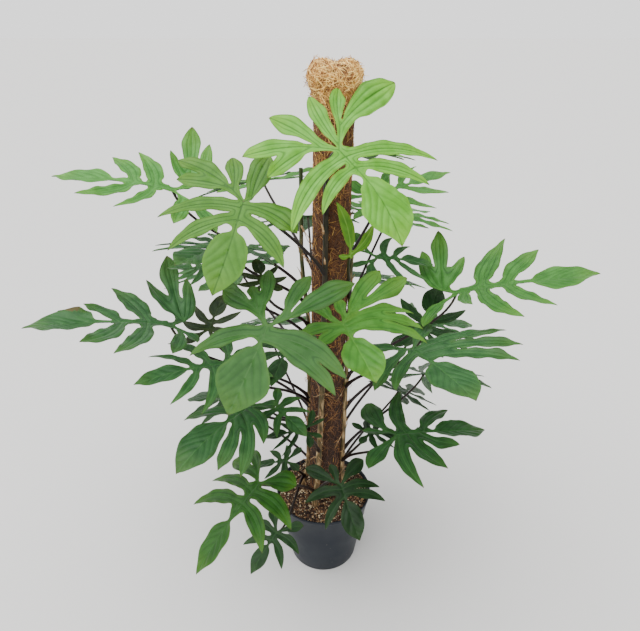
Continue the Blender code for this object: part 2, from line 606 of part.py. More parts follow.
def cut_between(one, other, reach):
    """The inner end of the cut between two neighbouring lobes, the second further to the right."""
    if one["end"] or other["end"]:
        end, way = (one, 1) if one["end"] else (other, -1)
        return end["ribs"][0] + Vector((way * WAIST * reach, 0))
    if one["rear"] != other["rear"]:
        return flat(math.copysign(NECK_ANGLE, one["angle"]), NECK * reach)
    share = web_share(one, other)
    return (rib(one, share) + rib(other, share)) / 2


def edge_points(lobes, index, side):
    """One edge of a lobe, root to tip, held off its neighbour's rib."""
    lobe, other = lobes[index], lobes[(index + side) % len(lobes)]
    shares = END_EDGE if lobe["end"] else SIDE_EDGE if not lobe["wide"] else \
        REAR_EDGE if lobe["rear"] else WIDE_EDGE
    most = END_WIDTH if lobe["end"] else BY_END_WIDTH if other["end"] else MOST_WIDTH
    points = []
    for t, share in shares:
        if t < web_share(lobe, other) + EDGE_START:
            continue
        middle = rib(lobe, t)
        along = (rib(lobe, t + EDGE_RUN) - rib(lobe, t - EDGE_RUN)).normalized()
        room = min((middle - rib(other, step / ROOM_STEPS)).length
                   for step in range(ROOM_STEPS + 1))
        half = min(lobe["half"] * share, most * room)
        points.append(middle + Vector((along.y, -along.x)) * half * side)
    return points


def blade_outline(lobes):
    reach = max(lobe["ribs"][2].length for lobe in lobes if lobe["end"])
    outline = [flat(180, BACK_NOTCH * reach)]
    for index, lobe in enumerate(lobes):
        if index:
            outline.append(cut_between(lobes[index - 1], lobe, reach))
        outline += edge_points(lobes, index, -1)
        outline.append(lobe["ribs"][2])
        outline += reversed(edge_points(lobes, index, 1))
    return outline


def nearest(point, line):
    """Distance from a point to a line, how far along it that is, and on which side."""
    best = (math.inf, 0.0, 1.0)
    passed = 0.0
    for start, stop in zip(line, line[1:]):
        run, off = stop - start, point - start
        share = min(1.0, max(0.0, off.dot(run) / max(run.length_squared, 1e-12)))
        away = (off - run * share).length
        if away < best[0]:
            best = (away, passed + share * run.length,
                    math.copysign(1.0, run.x * off.y - run.y * off.x))
        passed += run.length
    return best


def blade_height(lobes, point):
    """Rise of the blade over its plane: ribs lie low, and each lobe lifts and turns on its own."""
    low, total, rise = math.inf, 0.0, 0.0
    for number, lobe in enumerate(lobes):
        line = [Vector((0, 0)), *(rib(lobe, step / RIB_STEPS) for step in range(RIB_STEPS + 1))]
        near, along, side = nearest(point, line)
        root = lobe["ribs"][0].length
        length = sum((b - a).length for a, b in zip(line[1:], line[2:]))
        share = min(1.0, max(0.0, (along - root) / length))
        low = min(low, near)
        weight = (near + RIB_SOFT) ** -4
        turn = LOBE_TURN * math.sin(TURN_STEP * number + len(lobes))
        rise += weight * (lobe["lift"] * share ** 2 + turn * share * side * near)
        total += weight
    return rise / total + RIB_LIFT * low / (1 + low / RIB_EASE)


def blade_place(point, rise, base, axes, droop):
    """A place in the blade's plane, bent down along arcs that start at its base."""
    end, side, up = axes
    reach = max(point.length, 1e-9)
    ahead, across = point.y / reach, point.x / reach
    bend = droop[0] * ahead ** 2 + droop[1] * across ** 2 if ahead > 0 else droop[1]
    turn = bend * reach
    out = math.sin(turn) / bend
    drop = (1 - math.cos(turn)) / bend
    return base + (end * ahead + side * across) * out + up * (rise - drop)


def build_blade(name, place, angles, droop, shade, plan, group):
    lobes = lobes_of(plan)
    outline = blade_outline(lobes)
    points = list(outline) + [Vector((0, 0))]
    hub = len(outline)
    edges = [(i, (i + 1) % hub) for i in range(hub)]
    for lobe in lobes:
        start, _, tip = lobe["ribs"]
        points += [start, rib(lobe, MID_RIB)]
        edges += [(hub, len(points) - 2), (len(points) - 2, len(points) - 1),
                  (len(points) - 1, outline.index(tip))]
    verts, _, faces, *_ = delaunay_2d_cdt(points, edges, [list(range(hub))], 1, SAME_PLACE)
    base, axes = Vector(place) * CM, leaf_axes(angles)
    made = bmesh.new()
    corners = [made.verts.new(blade_place(v, blade_height(lobes, v), base, axes, droop))
               for v in verts]
    for face in faces:
        made.faces.new([corners[i] for i in face])
    mesh = bpy.data.meshes.new(name)
    made.to_mesh(mesh)
    made.free()
    blade = add_object(name, mesh, group, material(f"leaf_{shade}", SHADES[shade], 0.45))
    solid = blade.modifiers.new("Thickness", "SOLIDIFY")
    solid.thickness = BLADE
    solid.offset = 0.0


def main():
    clear_scene()
    plant = new_collection(COLLECTION)
    drains = new_collection("drain_cutters", hidden=True)
    holes = new_collection("stem_hole_cutters", hidden=True)
    build_pot(plant, drains)
    build_mix(plant, holes)
    build_stake(plant)
    build_sleeve(plant)
    for name in STEMS:
        build_stem(name, plant)
    for name, (_, place, angles, droop, shade, plan) in LEAVES.items():
        build_blade(name, place, angles, droop, shade, plan, plant)
    for cutter in [*drains.objects, *holes.objects]:
        cutter.hide_render = True
        cutter.display_type = "WIRE"


if __name__ == "__main__":
    main()
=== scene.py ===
"""Looks of a philodendron pedatum that climbs a coir pole in a plain nursery pot.

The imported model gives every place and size, in metres, +Z up, with -Y the plant's front. This script
dresses it: finely cut and veined blades, petioles and stems, coir fibre, potting mix and the pot.
"""

import math
import random

import bmesh
import bpy
import numpy as np
from bpy.props import FloatProperty, FloatVectorProperty, IntProperty, PointerProperty
from mathutils import Matrix, Vector
from mathutils.bvhtree import BVHTree
from mathutils.geometry import delaunay_2d_cdt
from mathutils.kdtree import KDTree


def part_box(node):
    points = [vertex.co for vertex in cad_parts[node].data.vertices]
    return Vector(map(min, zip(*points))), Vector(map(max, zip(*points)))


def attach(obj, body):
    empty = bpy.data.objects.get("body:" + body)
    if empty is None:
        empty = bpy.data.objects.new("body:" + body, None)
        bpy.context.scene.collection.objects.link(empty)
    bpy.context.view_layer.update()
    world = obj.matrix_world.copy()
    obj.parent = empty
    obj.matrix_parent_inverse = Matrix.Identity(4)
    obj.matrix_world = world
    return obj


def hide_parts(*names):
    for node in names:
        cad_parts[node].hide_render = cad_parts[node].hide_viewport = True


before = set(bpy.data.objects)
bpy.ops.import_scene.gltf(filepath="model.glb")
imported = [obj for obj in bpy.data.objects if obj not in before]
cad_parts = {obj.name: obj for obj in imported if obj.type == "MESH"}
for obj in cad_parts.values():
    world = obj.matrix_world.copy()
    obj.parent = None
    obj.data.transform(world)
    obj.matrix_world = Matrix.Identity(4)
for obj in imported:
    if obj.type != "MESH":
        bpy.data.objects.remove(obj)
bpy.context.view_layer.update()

bl_info = {
    "name": "Potted philodendron pedatum",
    "version": (1, 0, 0),
    "blender": (4, 5, 0),
    "location": "3D View > Sidebar > Plant",
    "description": "Fine leaves, stems, coir pole and pot for the packed philodendron",
    "category": "Object",
}

BODY = "root"
SEED = 11
CM = 0.01
MM = 0.001
# Corners nearer than this are one corner. Shading breaks at edges bent by more than these degrees
WELD = 1e-6
SHARP_ANGLE = 60
# These keep divisors off zero: the first for widths and knots, the second for lengths
LEAST = 1e-6
TINY = 1e-9

# Pot and potting mix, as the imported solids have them
POT_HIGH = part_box("pot")[1]
POT_HEIGHT = POT_HIGH.z
POT_RIM_RADIUS = POT_HIGH.x
POT_BASE_RADIUS = 0.086
POT_LIP = 1.5 * MM
POT_LIP_HEIGHT = 8 * MM
DRAIN_HOLES = 6
DRAIN_RING = 0.055
DRAIN_RADIUS = 6 * MM
DRILL_SIDES = 24
DRILL_DEPTH = 0.02
MIX_TOP = 0.198
# Grains on the mix: how far they keep from the pole and the wall, spread of their sizes, knobs and
# tints, widths as shares of their length, how they tilt, and how far they heap up in mm. They fall
# from GRAIN_DROP over the mix, and none stays in a hole deeper than GRAIN_HOLE
GRAIN_CLEAR = (2 * MM, 5 * MM)
GRAIN_SIZES = (0.6, 1.5)
GRAIN_KNOBS = (0.75, 1.2)
GRAIN_TINTS = (1.6, 2.2)
GRAIN_WIDTHS = (0.45, 0.9)
GRAIN_TILT = 0.5
GRAIN_HEAP = 2.2
GRAIN_DROP = 5 * CM
GRAIN_HOLE = 1 * CM
CHIP_FLATNESS = 0.42
PERLITE_FLATNESS = 0.8

# Pole: axis, radius, the zone of the folded head and the felt's lumps
POLE_RADIUS = 0.0377
POLE_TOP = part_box("coir_sleeve")[1].z
POLE_LEAN = 0.0151
HEAD_HEIGHT = 0.066
POLE_NECK = POLE_TOP - HEAD_HEIGHT
LUMP_SIZE = 12 * MM
LUMP_HEIGHT = 4 * MM
# Strands on the column and on the folded head: how far their curl strays, their points, the step
# between points in mm, and how much further off than their middles the ends stand, mean in mm
COLUMN_STRANDS = (0.12, 5, (3, 5.5), 0.5)
HEAD_STRANDS = (0.25, 7, (5, 9), 1.2)
# Slopes of strands as (middle, spread): up or down on the column, any way on the head
COLUMN_SLOPE = (0.9, 0.4)
HEAD_SLOPE = (0, 0.9)
# Strands start round the pole's axis, which is followed to this share of the head under its top. Then
# the share of the head's strands that start on its top, and how far out they do, in pole radii
HEAD_AXIS = 0.25
TOP_SHARE = 0.45
TOP_REACH = 1.25
# Rays that find where a strand starts set out this many pole radii from the axis, or this high over
# the head
RAY_OUT = 2
RAY_OVER = 2 * CM
# How far a strand's middle lies off the core in mm, the share of the head's strands that stand loose
# at their ends and how far in mm, the spread of widths, and how thin the ends are
STRAND_STAND = (0.1, 1.3)
LOOSE_SHARE = 0.05
LOOSE_STAND = (3, 8)
STRAND_WIDTHS = (0.6, 1.3)
STRAND_END = 0.5
# Tint of the strands by height: old and damp below, bleached straw on top of the head. Then the
# share that is pale, what a pale and a dark one add, and how far single strands stray
STRAND_TINTS = ((MIX_TOP, 0.20), (0.9, 0.36), (POLE_NECK, 0.56), (POLE_TOP - 0.4 * HEAD_HEIGHT, 0.77))
PALE_SHARE = 0.33
PALE_TINT = 0.26
DARK_TINT = -0.08
TINT_STRAY = 0.09
# Painted shade: strands in the crease between the head's two lobes are darkened by this much, over
# about this width
CREASE_SHADE = 0.3
CREASE_WIDTH = 4 * MM
# Turns of the binding: steps round, band under the neck in cm, tilt, how far they stand off and
# stray in mm, spread of widths and tints
BINDING_STEPS = 40
BINDING_BAND = (-0.2, 3.2)
BINDING_TILT = 0.06
BINDING_STAND = (0.8, 2.2)
BINDING_STRAY = 0.35
BINDING_WIDTHS = (0.6, 0.9)
BINDING_TINTS = (0.45, 0.9)

# Stems: foot in the mix, how far the feet stand out from the pole and the heights over which that
# ends, gap to the pole, sway in radians a metre, taper as a share, and width of a node's ring
STEM_FOOT = MIX_TOP - 0.035
STEM_SPREAD = 0.0125
SPREAD_LOW = 0.215
SPREAD_HIGH = 0.30
STEM_GAP = 0.0009
STEM_WIND = 2.6
STEM_TAPER = 0.25
RING_WIDTH = 3 * MM
# Lowest place for a petiole's foot, and how far under its stem's top the highest one is
LOWEST_NODE = 0.235
TOP_NODE = 0.01
# Petioles: radii, the foot's thickness as a share, how far under the blade they end in tip radii, how
# far below it they start and how much further for each metre out, directions as (outward, up) where
# they leave and (end, up) where they arrive, handles as shares of their reach, and points
PETIOLE_BASE = 0.0042
PETIOLE_TIP = 0.0026
PETIOLE_THIN = 0.86
PETIOLE_SEAT = 0.6
PETIOLE_DROP = 0.08
PETIOLE_SLOPE = 0.55
PETIOLE_LEAVE = (0.5, 0.75)
PETIOLE_ARRIVE = (0.5, 0.85)
PETIOLE_HANDLES = (0.35, 0.30)
PETIOLE_POINTS = 26
# Swelling at a petiole's foot and under the blade: extra radius as a share, and length
FOOT_SWELL = (0.45, 2.2 * CM)
JOINT_SWELL = (0.25, 0.9 * CM)
# How corky a stem is by height, how far some have gone dark, as petioles do, and over what heights
STEM_CORK = ((0.2, 1.0), (0.45, 0.75), (0.75, 0.25), (1.0, 0.0))
STEM_DARK = {"stem_front": 0.75, "stem_back_left": 0.5}
DARK_HEIGHTS = (0.45, 0.7)
# How dark a petiole is at these distances from its blade, on young leaves and on others
DARK_AWAY = (0.01, 0.05, 0.12)
YOUNG_DARK = (0.15, 0.55, 0.95)
OLD_DARK = (0.6, 0.9, 1.0)
YOUNG_SHADES = ("light", "bright", "young")

# Roots that hold a stem to the pole: how many leave a node, radians that they turn round it in so
# many pole radii of length, length in cm, fall, points, how far they stand off and stray in mm,
# thickness in mm, and what it starts at and loses as shares
NODE_ROOTS = (0, 1, 1, 2)
ROOT_TURN = (0.5, 1.1)
ROOT_WRAP = 1.6
ROOT_LENGTH = (2.5, 7.0)
ROOT_FALL = (0.02, 0.06)
ROOT_POINTS = 12
ROOT_STAND = (0.6, 2.4)
ROOT_STRAY = 1.2
ROOT_WIDTHS = (0.7, 1.4)
ROOT_TAPER = (1.2, 0.8)
# Free roots: nodes that bear them, how many each, swing and rise of the start, curl, points, how a
# root's rise strays as (middle, spread), thickness in mm and its taper a point
FREE_NODES = (2, 7)
FREE_ROOTS = 2
FREE_SWING = 1.2
FREE_RISE = (-0.7, 0.3)
FREE_CURL = (0.2, 0.5)
FREE_POINTS = 9
FREE_STRAY = (-0.05, 0.25)
FREE_WIDTHS = (0.6, 1.1)
FREE_TAPER = (1.1, 0.09)
# Dried sheaths: lowest node, swing, length in cm, places of their points, how far they stand off in
# stem radii and lean out, and their radius in stem radii at the foot and what it loses
SHEATH_NODE = 4
SHEATH_SWING = 1.3
SHEATH_LENGTH = (1.6, 3.4)
SHEATH_SHARES = (0.0, 0.2, 0.45, 0.7, 0.9, 1.0)
SHEATH_STAND = 0.7
SHEATH_LEAN = 0.35
SHEATH_TAPER = (0.42, 0.36)

# Blade shape: rear rib's angle, how far a side rib's handle stands back from its chord, then the
# cuts between the lobes: half width of the end lobe's waist and distance from the petiole's joint to
# the cuts beside it and behind it, as shares of the blade's reach
REAR_RIB = 132
SICKLE = 0.20
REAR_SICKLE = 0.08
WAIST = 0.026
NECK = 0.06
NECK_ANGLE = 104
BACK_NOTCH = 0.03
# Share of their ribs up to which two lobes share a web. Front lobes go by how far apart they leave
# the midrib, in half widths, and rear lobes by the degrees between them: close ones are only teeth
WEB_APART = (0.12, 0.40, 0.66, 0.86)
WEB_SHARE = (0.70, 0.42, 0.20, 0.06)
TEETH_APART = (18, 26)
TEETH_SHARE = (0.60, 0.12)
# Most of the way to its neighbour's rib that a lobe may fill: side lobes, the end lobe, and a side
# lobe towards the end lobe
MOST_WIDTH = 0.45
END_WIDTH = 0.66
BY_END_WIDTH = 0.30
# A lobe within these degrees of the midrib is the end lobe, and one wider than these cm is a wide
# one. Then the steps along a rib
END_LOBE = 15
WIDE_LOBE = 3.9
RIB_STEPS = 10
# Shares of a rib: from a web's end to the first edge point, and half the run that gives the
# direction across the rib there. Then the steps of the search for the neighbour's nearest place
EDGE_START = 0.04
EDGE_RUN = 0.02
ROOM_STEPS = 12
# Knots between which a smooth line's three rounds of blending run
KNOT_SPANS = (((0, 1), (1, 2), (2, 3)), ((0, 2), (1, 3)), ((1, 2),))
# Inner points keep this far from the outline and the ribs, and points this near are one, in steps
FILL_CLEAR = 0.6
FILL_WELD = 0.12
# Blade relief: slope beside the ribs and where it eases, turn of the lobes and how it goes on from
# lobe to lobe, softness and sharpness of the change between lobes, half widths of a rib's groove
# and ridge
RIB_LIFT = 0.20
RIB_EASE = 0.03
LOBE_TURN = 0.22
TURN_STEP = 2.4
RIB_SOFT = 0.003
RIB_SHARP = 4.0
GROOVE_WIDTH = 1.2 * MM
RIDGE_WIDTH = 2 * MM
# Widths over which pleats come up, and the points across a pleat from which it is raised
PLEAT_WIDTHS = (4 * MM, 14 * MM)
RAISED_STEPS = (2.4, 4.5)
# End lobes have faint side veins: their depth as a share of the pleats', how far inside the margin
# they fade, and how unevenly they stand
END_DEPTH = 0.50
VEIN_FADE = 9 * MM
VEIN_STRAY = 0.004
VEIN_STRAY_STEP = 0.013
# Waves of the margin: how far inside it and how near the rib they end, and how far the next lobe's
# are shifted
WAVE_FADE = 12 * MM
WAVE_FROM = (4 * MM, 12 * MM)
WAVE_SHIFT = 0.37
# Edges as (share of the rib, share of the half width), with a drawn-out point at each tip
END_EDGE = ((0.05, 0.17), (0.12, 0.54), (0.21, 0.80), (0.33, 0.95), (0.46, 1.0), (0.59, 0.96),
            (0.72, 0.80), (0.84, 0.52), (0.93, 0.22))
WIDE_EDGE = ((0.14, 0.56), (0.28, 0.82), (0.45, 1.0), (0.64, 0.93), (0.81, 0.64), (0.93, 0.28))
SIDE_EDGE = ((0.14, 0.72), (0.27, 0.92), (0.42, 1.0), (0.62, 0.86), (0.80, 0.56), (0.93, 0.24))
REAR_EDGE = ((0.16, 0.50), (0.32, 0.80), (0.52, 0.98), (0.68, 0.96), (0.84, 0.68), (0.94, 0.32))

# Climbing stems: side of the pole in degrees from +X, top of the stem, radius, turn on the way up
STEMS = {
    "stem_front": (-118, 1.02, 0.0070, 14),
    "stem_left": (172, 1.02, 0.0055, -12),
    "stem_right": (-22, 0.86, 0.0055, 10),
    "stem_back_right": (48, 0.98, 0.0055, -10),
    "stem_back_left": (116, 0.95, 0.0055, 12),
}
# How far a stem's top stands off the pole, and the heights between which it leans out
STEM_LEAN = {"stem_left": 0.021}
LEAN_LOW = 0.62
LEAN_HIGH = 0.86

# Lobe patterns, as shares of the leaf's reach: angle from the end lobe in degrees (positive is the
# leaf's right), reach, width, root along the midrib (negative: along the rear rib), lift of the tip
PATTERNS = {
    "broad": [
        (0, 1.00, 0.42, 0.34, 0.0),
        (40, 0.88, 0.17, 0.26, 0.0), (-43, 0.86, 0.17, 0.24, 0.0),
        (64, 0.86, 0.18, 0.10, 0.0), (-67, 0.84, 0.18, 0.09, 0.0),
        (98, 0.66, 0.16, -0.18, 0.05), (-95, 0.68, 0.16, -0.18, 0.05),
        (126, 0.72, 0.24, -0.24, 0.10), (-124, 0.70, 0.22, -0.24, 0.10),
        (156, 0.56, 0.15, -0.20, 0.06), (-158, 0.54, 0.15, -0.20, 0.06),
    ],
    "slim": [
        (0, 1.00, 0.30, 0.38, 0.0),
        (34, 0.90, 0.13, 0.32, 0.0), (-36, 0.88, 0.13, 0.30, 0.0),
        (58, 0.88, 0.14, 0.14, 0.0), (-60, 0.90, 0.14, 0.13, 0.0),
        (104, 0.74, 0.18, -0.18, 0.08), (-108, 0.76, 0.18, -0.18, 0.08),
        (146, 0.60, 0.15, -0.18, 0.04), (-142, 0.62, 0.15, -0.18, 0.04),
    ],
    "small": [
        (0, 1.00, 0.40, 0.30, 0.0),
        (44, 0.84, 0.20, 0.20, 0.0), (-46, 0.82, 0.20, 0.18, 0.0),
        (82, 0.74, 0.22, 0.03, 0.0), (-80, 0.76, 0.22, 0.03, 0.0),
        (128, 0.62, 0.24, -0.16, 0.04), (-130, 0.64, 0.24, -0.16, 0.04),
    ],
}

# Leaves: stem, place of the blade's base in cm, (heading, pitch, roll) in degrees, (end, side)
# droop per metre, shade, then a pattern with its reach in cm or the leaf's own lobes in cm
LEAVES = {
    "leaf_crown": ("stem_front", (2.2, -15, 108.5), (-30, -38, -26), (1.0, 0.8), "light", [
        (9, 19, 10, 6, 0), (57, 12.5, 2.4, 4, 0), (70, 17.5, 3.4, 1.6, 0),
        (104, 13.5, 2.8, -4.5, 0), (122, 16, 3.6, -5, 0), (156, 12.5, 4.4, -3, 0),
        (-161, 11.5, 3.2, -0.8, 0), (-134, 13.5, 3, -5, 0), (-103, 22, 6, -5, 0),
        (-53, 19, 3.0, 1.6, 0), (-35, 17, 2.8, 4, 0)]),
    "leaf_upper_left": ("stem_front", (-13.3, -20, 101.2), (-104, -35, 9), (2.0, 1.3), "light", [
        (3, 16.7, 6.8, 5.2, 0), (43, 14.4, 2.9, 3.5, 0), (70, 14.2, 3.0, 1.2, 0),
        (104, 13, 3.2, -3.5, 0), (119, 16, 4.2, -3.5, 0), (154, 10.5, 3.2, -3, 0),
        (-172, 11.5, 4.6, -1.5, 0), (-69, 10.5, 5.4, 0.5, 0), (-42, 13.5, 3.2, 3.5, 0)]),
    "leaf_far_left": ("stem_left", (-29.8, 0, 98.2), (190, 17, 8), (1.4, 1.0), "mid", [
        (2, 22.5, 8.6, 10.8, 0), (41, 17.6, 4.2, 7.4, 1), (58, 16, 3.8, 3.6, 2.3),
        (80, 12, 3, -4.5, 4.4), (94, 18, 6.4, -4.5, 9.5), (111, 15.5, 3.6, -4.5, 7.5),
        (-32, 19, 3.4, 7.4, 1.5), (-52, 15, 2.6, 3.4, 0.5), (-96, 13, 3.2, -3, 0),
        (-132, 14, 3.6, -4, -1)]),
    "leaf_left": ("stem_left", (-31.4, -8, 72.4), (196, 17, -4), (1.4, 1.0), "deep", [
        (-2, 27.5, 10.4, 13.8, 1), (17, 18, 4.4, 9.8, 2.2), (47, 18, 4.6, 4.4, 3.4),
        (70, 15.5, 4.4, -4.5, 5.4), (86, 20, 7.6, -4.5, 11), (103, 15, 4.2, -4.5, 7),
        (-36, 20.4, 4.2, 9.4, 2), (-54, 18, 4.2, 4.6, 1), (-89, 12, 3, -3, 0),
        (-128, 8, 3.2, -3, 0)]),
    "leaf_front": ("stem_front", (-9, -33, 85.3), (-112, -30, 1), (1.6, 1.5), "mid", [
        (3, 14.8, 9.0, 3, 0), (57, 13.1, 3.8, 1.5, 0), (118, 12.6, 4.6, -3.5, 0),
        (139, 9.5, 2.8, -3.5, 0), (157, 12.5, 3, -3, 0), (-166, 12, 3, -3, 0),
        (-140, 16, 5.4, -3.5, 0), (-71, 15.2, 3.8, 1.6, 0), (-60, 15.7, 3.8, 2.2, 0)]),
    "leaf_middle": ("stem_front", (2.9, -25, 81.7), (-66, -15, -6), (1.8, 1.0), "bright", [
        (2, 13.6, 7, 3.4, 1), (60, 7.5, 3, 1.8, 0), (90, 8, 3.4, 0.5, 0), (162, 8, 2.8, -2, -1),
        (-160, 7, 2.4, -1.5, -0.5), (-126, 14, 4.6, -3, 3), (-105, 15, 5.6, -3, 3.7),
        (-91, 14.6, 3, 0.2, -2), (-81, 15.5, 3.8, 1, -3.7), (-71, 15.6, 3.8, 2.2, -4.6)]),
    "leaf_far_right": ("stem_right", (28.3, 0, 75.9), (-12, 20, -1), (1.0, 0.5), "mid", [
        (4, 28.3, 9.8, 14.8, 2), (31, 21.6, 3.8, 10.4, 0), (51, 19.5, 3.8, 5.4, 0.5),
        (70, 10, 2.8, 2, 1.5), (127, 12, 3.6, -3, -1), (-113, 17, 4.2, -4.5, 6.5),
        (-96, 19, 5.8, -4.5, 9.5), (-79, 14, 3.4, -4, 3), (-52, 20, 5.4, 5.4, 5),
        (-30, 21.5, 5, 10.4, 3)]),
    "leaf_right": ("stem_right", (17.1, -15, 70.8), (-62, 5, -5), (1.8, 1.5), "deep", [
        (3, 19.2, 9, 5.8, 1.7), (50, 13, 3.6, 1.5, 0), (66, 14, 3.4, -1, 0), (138, 10, 3.4, -3, 0),
        (-126, 12, 3.8, -3, 1), (-68, 19, 4.6, 0.4, 3.8), (-57, 21.2, 4.2, 2.4, 3.1),
        (-49, 20.2, 4, 4.4, 1)]),
    "leaf_right_upright": ("stem_right", (23.1, 4, 64.8), (66, 34, -3), (1.6, 1.2), "dark",
                           ("small", 13.3)),
    "leaf_right_back": ("stem_right", (24, 4, 53), (-33, 15, 16), (1.6, 1.2), "deep",
                        ("slim", 16.5)),
    "leaf_low_right": ("stem_right", (15.9, -12, 47.5), (8, 4, 5), (1.6, 1.4), "dark", [
        (-3, 21, 7.4, 8, 0.5), (27, 13.5, 4.8, 5, 1), (58, 14, 5, 2.5, 0),
        (86, 16, 3.4, 0.5, 0), (134, 12, 4, -3, 0), (-149, 8, 3, -2, 0),
        (-104, 15, 5, -3.5, 1.5), (-72, 17, 3.6, 2, 3), (-30, 17, 4.4, 6, 1)]),
    "leaf_over_pot": ("stem_front", (3.6, -19, 39.6), (-68, -36, 0), (1.9, 2.0), "dark", [
        (-3, 11.7, 5.0, 3, 0), (38, 9.6, 2.2, 2.5, 0), (81, 8.6, 2.6, 1, 0), (131, 8.5, 3, -2, 0),
        (170, 5, 2.2, -1, 0), (-119, 8, 3.2, -2, 0), (-73, 9, 2.2, 0.8, 0), (-57, 10.6, 2.4, 2, 0)]),
    "leaf_low_front": ("stem_front", (-13.7, -22, 42.8), (-132, -22, -12), (1.7, 1.8), "fresh", [
        (1, 20.4, 6.2, 8.5, 0), (54, 17.9, 3.2, 5, 0), (73, 14.7, 2.8, 2, 0), (98, 13, 4.4, -2, 0),
        (120, 11.5, 3, -3, 0), (-116, 9, 5, -2, 0), (-75, 13.8, 3.8, 2, 0), (-48, 14.9, 3.6, 5, 0)]),
    "leaf_low_left": ("stem_left", (-15.1, -16, 58), (-132, -1, -6), (2.0, 1.5), "deep", [
        (-2, 19.9, 9, 6, 0), (45, 14, 4, 3.5, 0), (80, 12, 3.4, 1, 0), (122, 10, 3.4, -3, 0),
        (-132, 5.5, 3, -2, 0), (-60, 12, 3.2, 1, 0), (-42, 18.5, 4, 2.5, 0), (-27, 17, 5, 4.5, 0)]),
    "leaf_by_rim": ("stem_left", (-11, -16, 22.3), (-128, -24, -5), (2.0, 1.5), "dark",
                    ("small", 10.5)),
    "leaf_left_small": ("stem_left", (-26, 2, 66), (72, 36, 0), (2.0, 1.5), "olive",
                        ("small", 10)),
    "leaf_left_tiny": ("stem_left", (-23.7, -6, 84), (172, 2, 8), (2.0, 1.5), "deep", ("small", 8)),
    "leaf_left_behind": ("stem_left", (-17.5, -11, 90.5), (245, 14, 0), (1.6, 1.2), "deep",
                         ("broad", 16)),
    "leaf_left_lower": ("stem_left", (-20.1, -15.3, 67.6), (206, 9, 2), (1.8, 1.2), "deep",
                        ("slim", 17)),
    "leaf_inner_left": ("stem_left", (-10.0, -12.8, 55.2), (-40, -16, 0), (2.0, 1.5), "deep",
                        ("small", 9)),
    "leaf_inner": ("stem_front", (-7.6, -9.4, 68), (-106, -12, 0), (2.0, 1.5), "dark",
                   ("small", 10.5)),
    "leaf_low_inner": ("stem_front", (-4.5, -13, 49.5), (176, -12, 0), (2.0, 1.5), "dark",
                       ("slim", 9)),
    "leaf_low_behind": ("stem_left", (-9, -5, 34), (176, -12, 0), (2.0, 1.5), "dark",
                        ("small", 8.5)),
    "leaf_low_side": ("stem_right", (10.5, -6.5, 43.4), (10, -8, 0), (2.0, 1.5), "dark",
                      ("small", 8)),
    "leaf_folded": ("stem_left", (-11.5, -13, 84), (108, 28, 4), (2.0, 1.5), "olive",
                    ("small", 6.5)),
    "leaf_upper_right": ("stem_back_right", (12, 8.5, 95), (11, 21, -8), (1.4, 1.2), "mid",
                         ("slim", 16)),
    "leaf_right_inner": ("stem_back_right", (12, 9.5, 80.5), (8, -6, -12), (1.4, 1.2), "deep",
                         ("slim", 14)),
    "leaf_back_01": ("stem_back_right", (6, 16, 103), (70, -10, 0), (1.6, 1.2), "light",
                     ("broad", 17)),
    "leaf_back_02": ("stem_back_left", (-14, 18, 96), (122, -8, 5), (1.6, 1.2), "mid",
                     ("slim", 18)),
    "leaf_back_03": ("stem_back_right", (16, 22, 87), (50, -4, -5), (1.5, 1.2), "mid",
                     ("broad", 18)),
    "leaf_back_04": ("stem_back_left", (-4, 30, 84), (96, -22, 0), (1.6, 1.2), "mid",
                     ("broad", 19)),
    "leaf_back_05": ("stem_back_left", (-22, 22, 74), (136, -4, 6), (1.5, 1.2), "deep",
                     ("slim", 21)),
    "leaf_back_06": ("stem_back_right", (12, 33, 66), (66, -14, 0), (1.6, 1.2), "deep",
                     ("broad", 20)),
    "leaf_back_07": ("stem_back_right", (25, 18, 58), (28, -4, -6), (1.5, 1.2), "deep",
                     ("slim", 19)),
    "leaf_back_08": ("stem_back_left", (-16, 28, 54), (116, -16, 0), (1.7, 1.3), "deep",
                     ("broad", 18)),
    "leaf_back_09": ("stem_back_left", (4, 26, 42), (84, -24, 0), (1.8, 1.4), "dark",
                     ("small", 15)),
    "leaf_back_10": ("stem_back_left", (-25, 13, 40), (156, -12, 4), (1.8, 1.4), "dark",
                     ("small", 15)),
    "leaf_back_11": ("stem_back_right", (21, 20, 37), (44, -20, -4), (1.8, 1.4), "dark",
                     ("small", 14)),
    "leaf_young": ("stem_right", (5, -8, 87.2), (102, 84, 0), (0.5, 2.0), "young", [
        (-14, 11, 2.4, 1.2, 0), (34, 7.6, 2.6, 0.5, 1), (-80, 2.4, 1.4, 0.3, 0)]),
}


# Colours and nodes

def colour(code):
    """A linear colour with full alpha from an sRGB hex value."""
    parts = [int(code[i:i + 2], 16) / 255 for i in (1, 3, 5)]
    return (*(c / 12.92 if c <= 0.04045 else ((c + 0.055) / 1.055) ** 2.4 for c in parts), 1.0)


def feed(tree, node, values=None, links=None):
    """Sets the values of a node's sockets, and links those that another node's output feeds."""
    for socket, value in (values or {}).items():
        node.inputs[socket].default_value = value
    for socket, source in (links or {}).items():
        tree.links.new(source, node.inputs[socket])


def add(tree, kind, values=None, links=None, stops=(), out=None, **settings):
    """Adds a shader node with its settings, values, links and ramp stops. Gives the output that out
    names, or else the first one in use."""
    node = tree.nodes.new(f"ShaderNode{kind}")
    for name, value in settings.items():
        setattr(node, name, value)
    feed(tree, node, values, links)
    for number, (place, code) in enumerate(stops):
        elements = node.color_ramp.elements
        element = elements[number] if number < len(elements) else elements.new(place)
        element.position, element.color = place, colour(code)
    return node.outputs[out] if out else next((one for one in node.outputs if one.enabled), None)


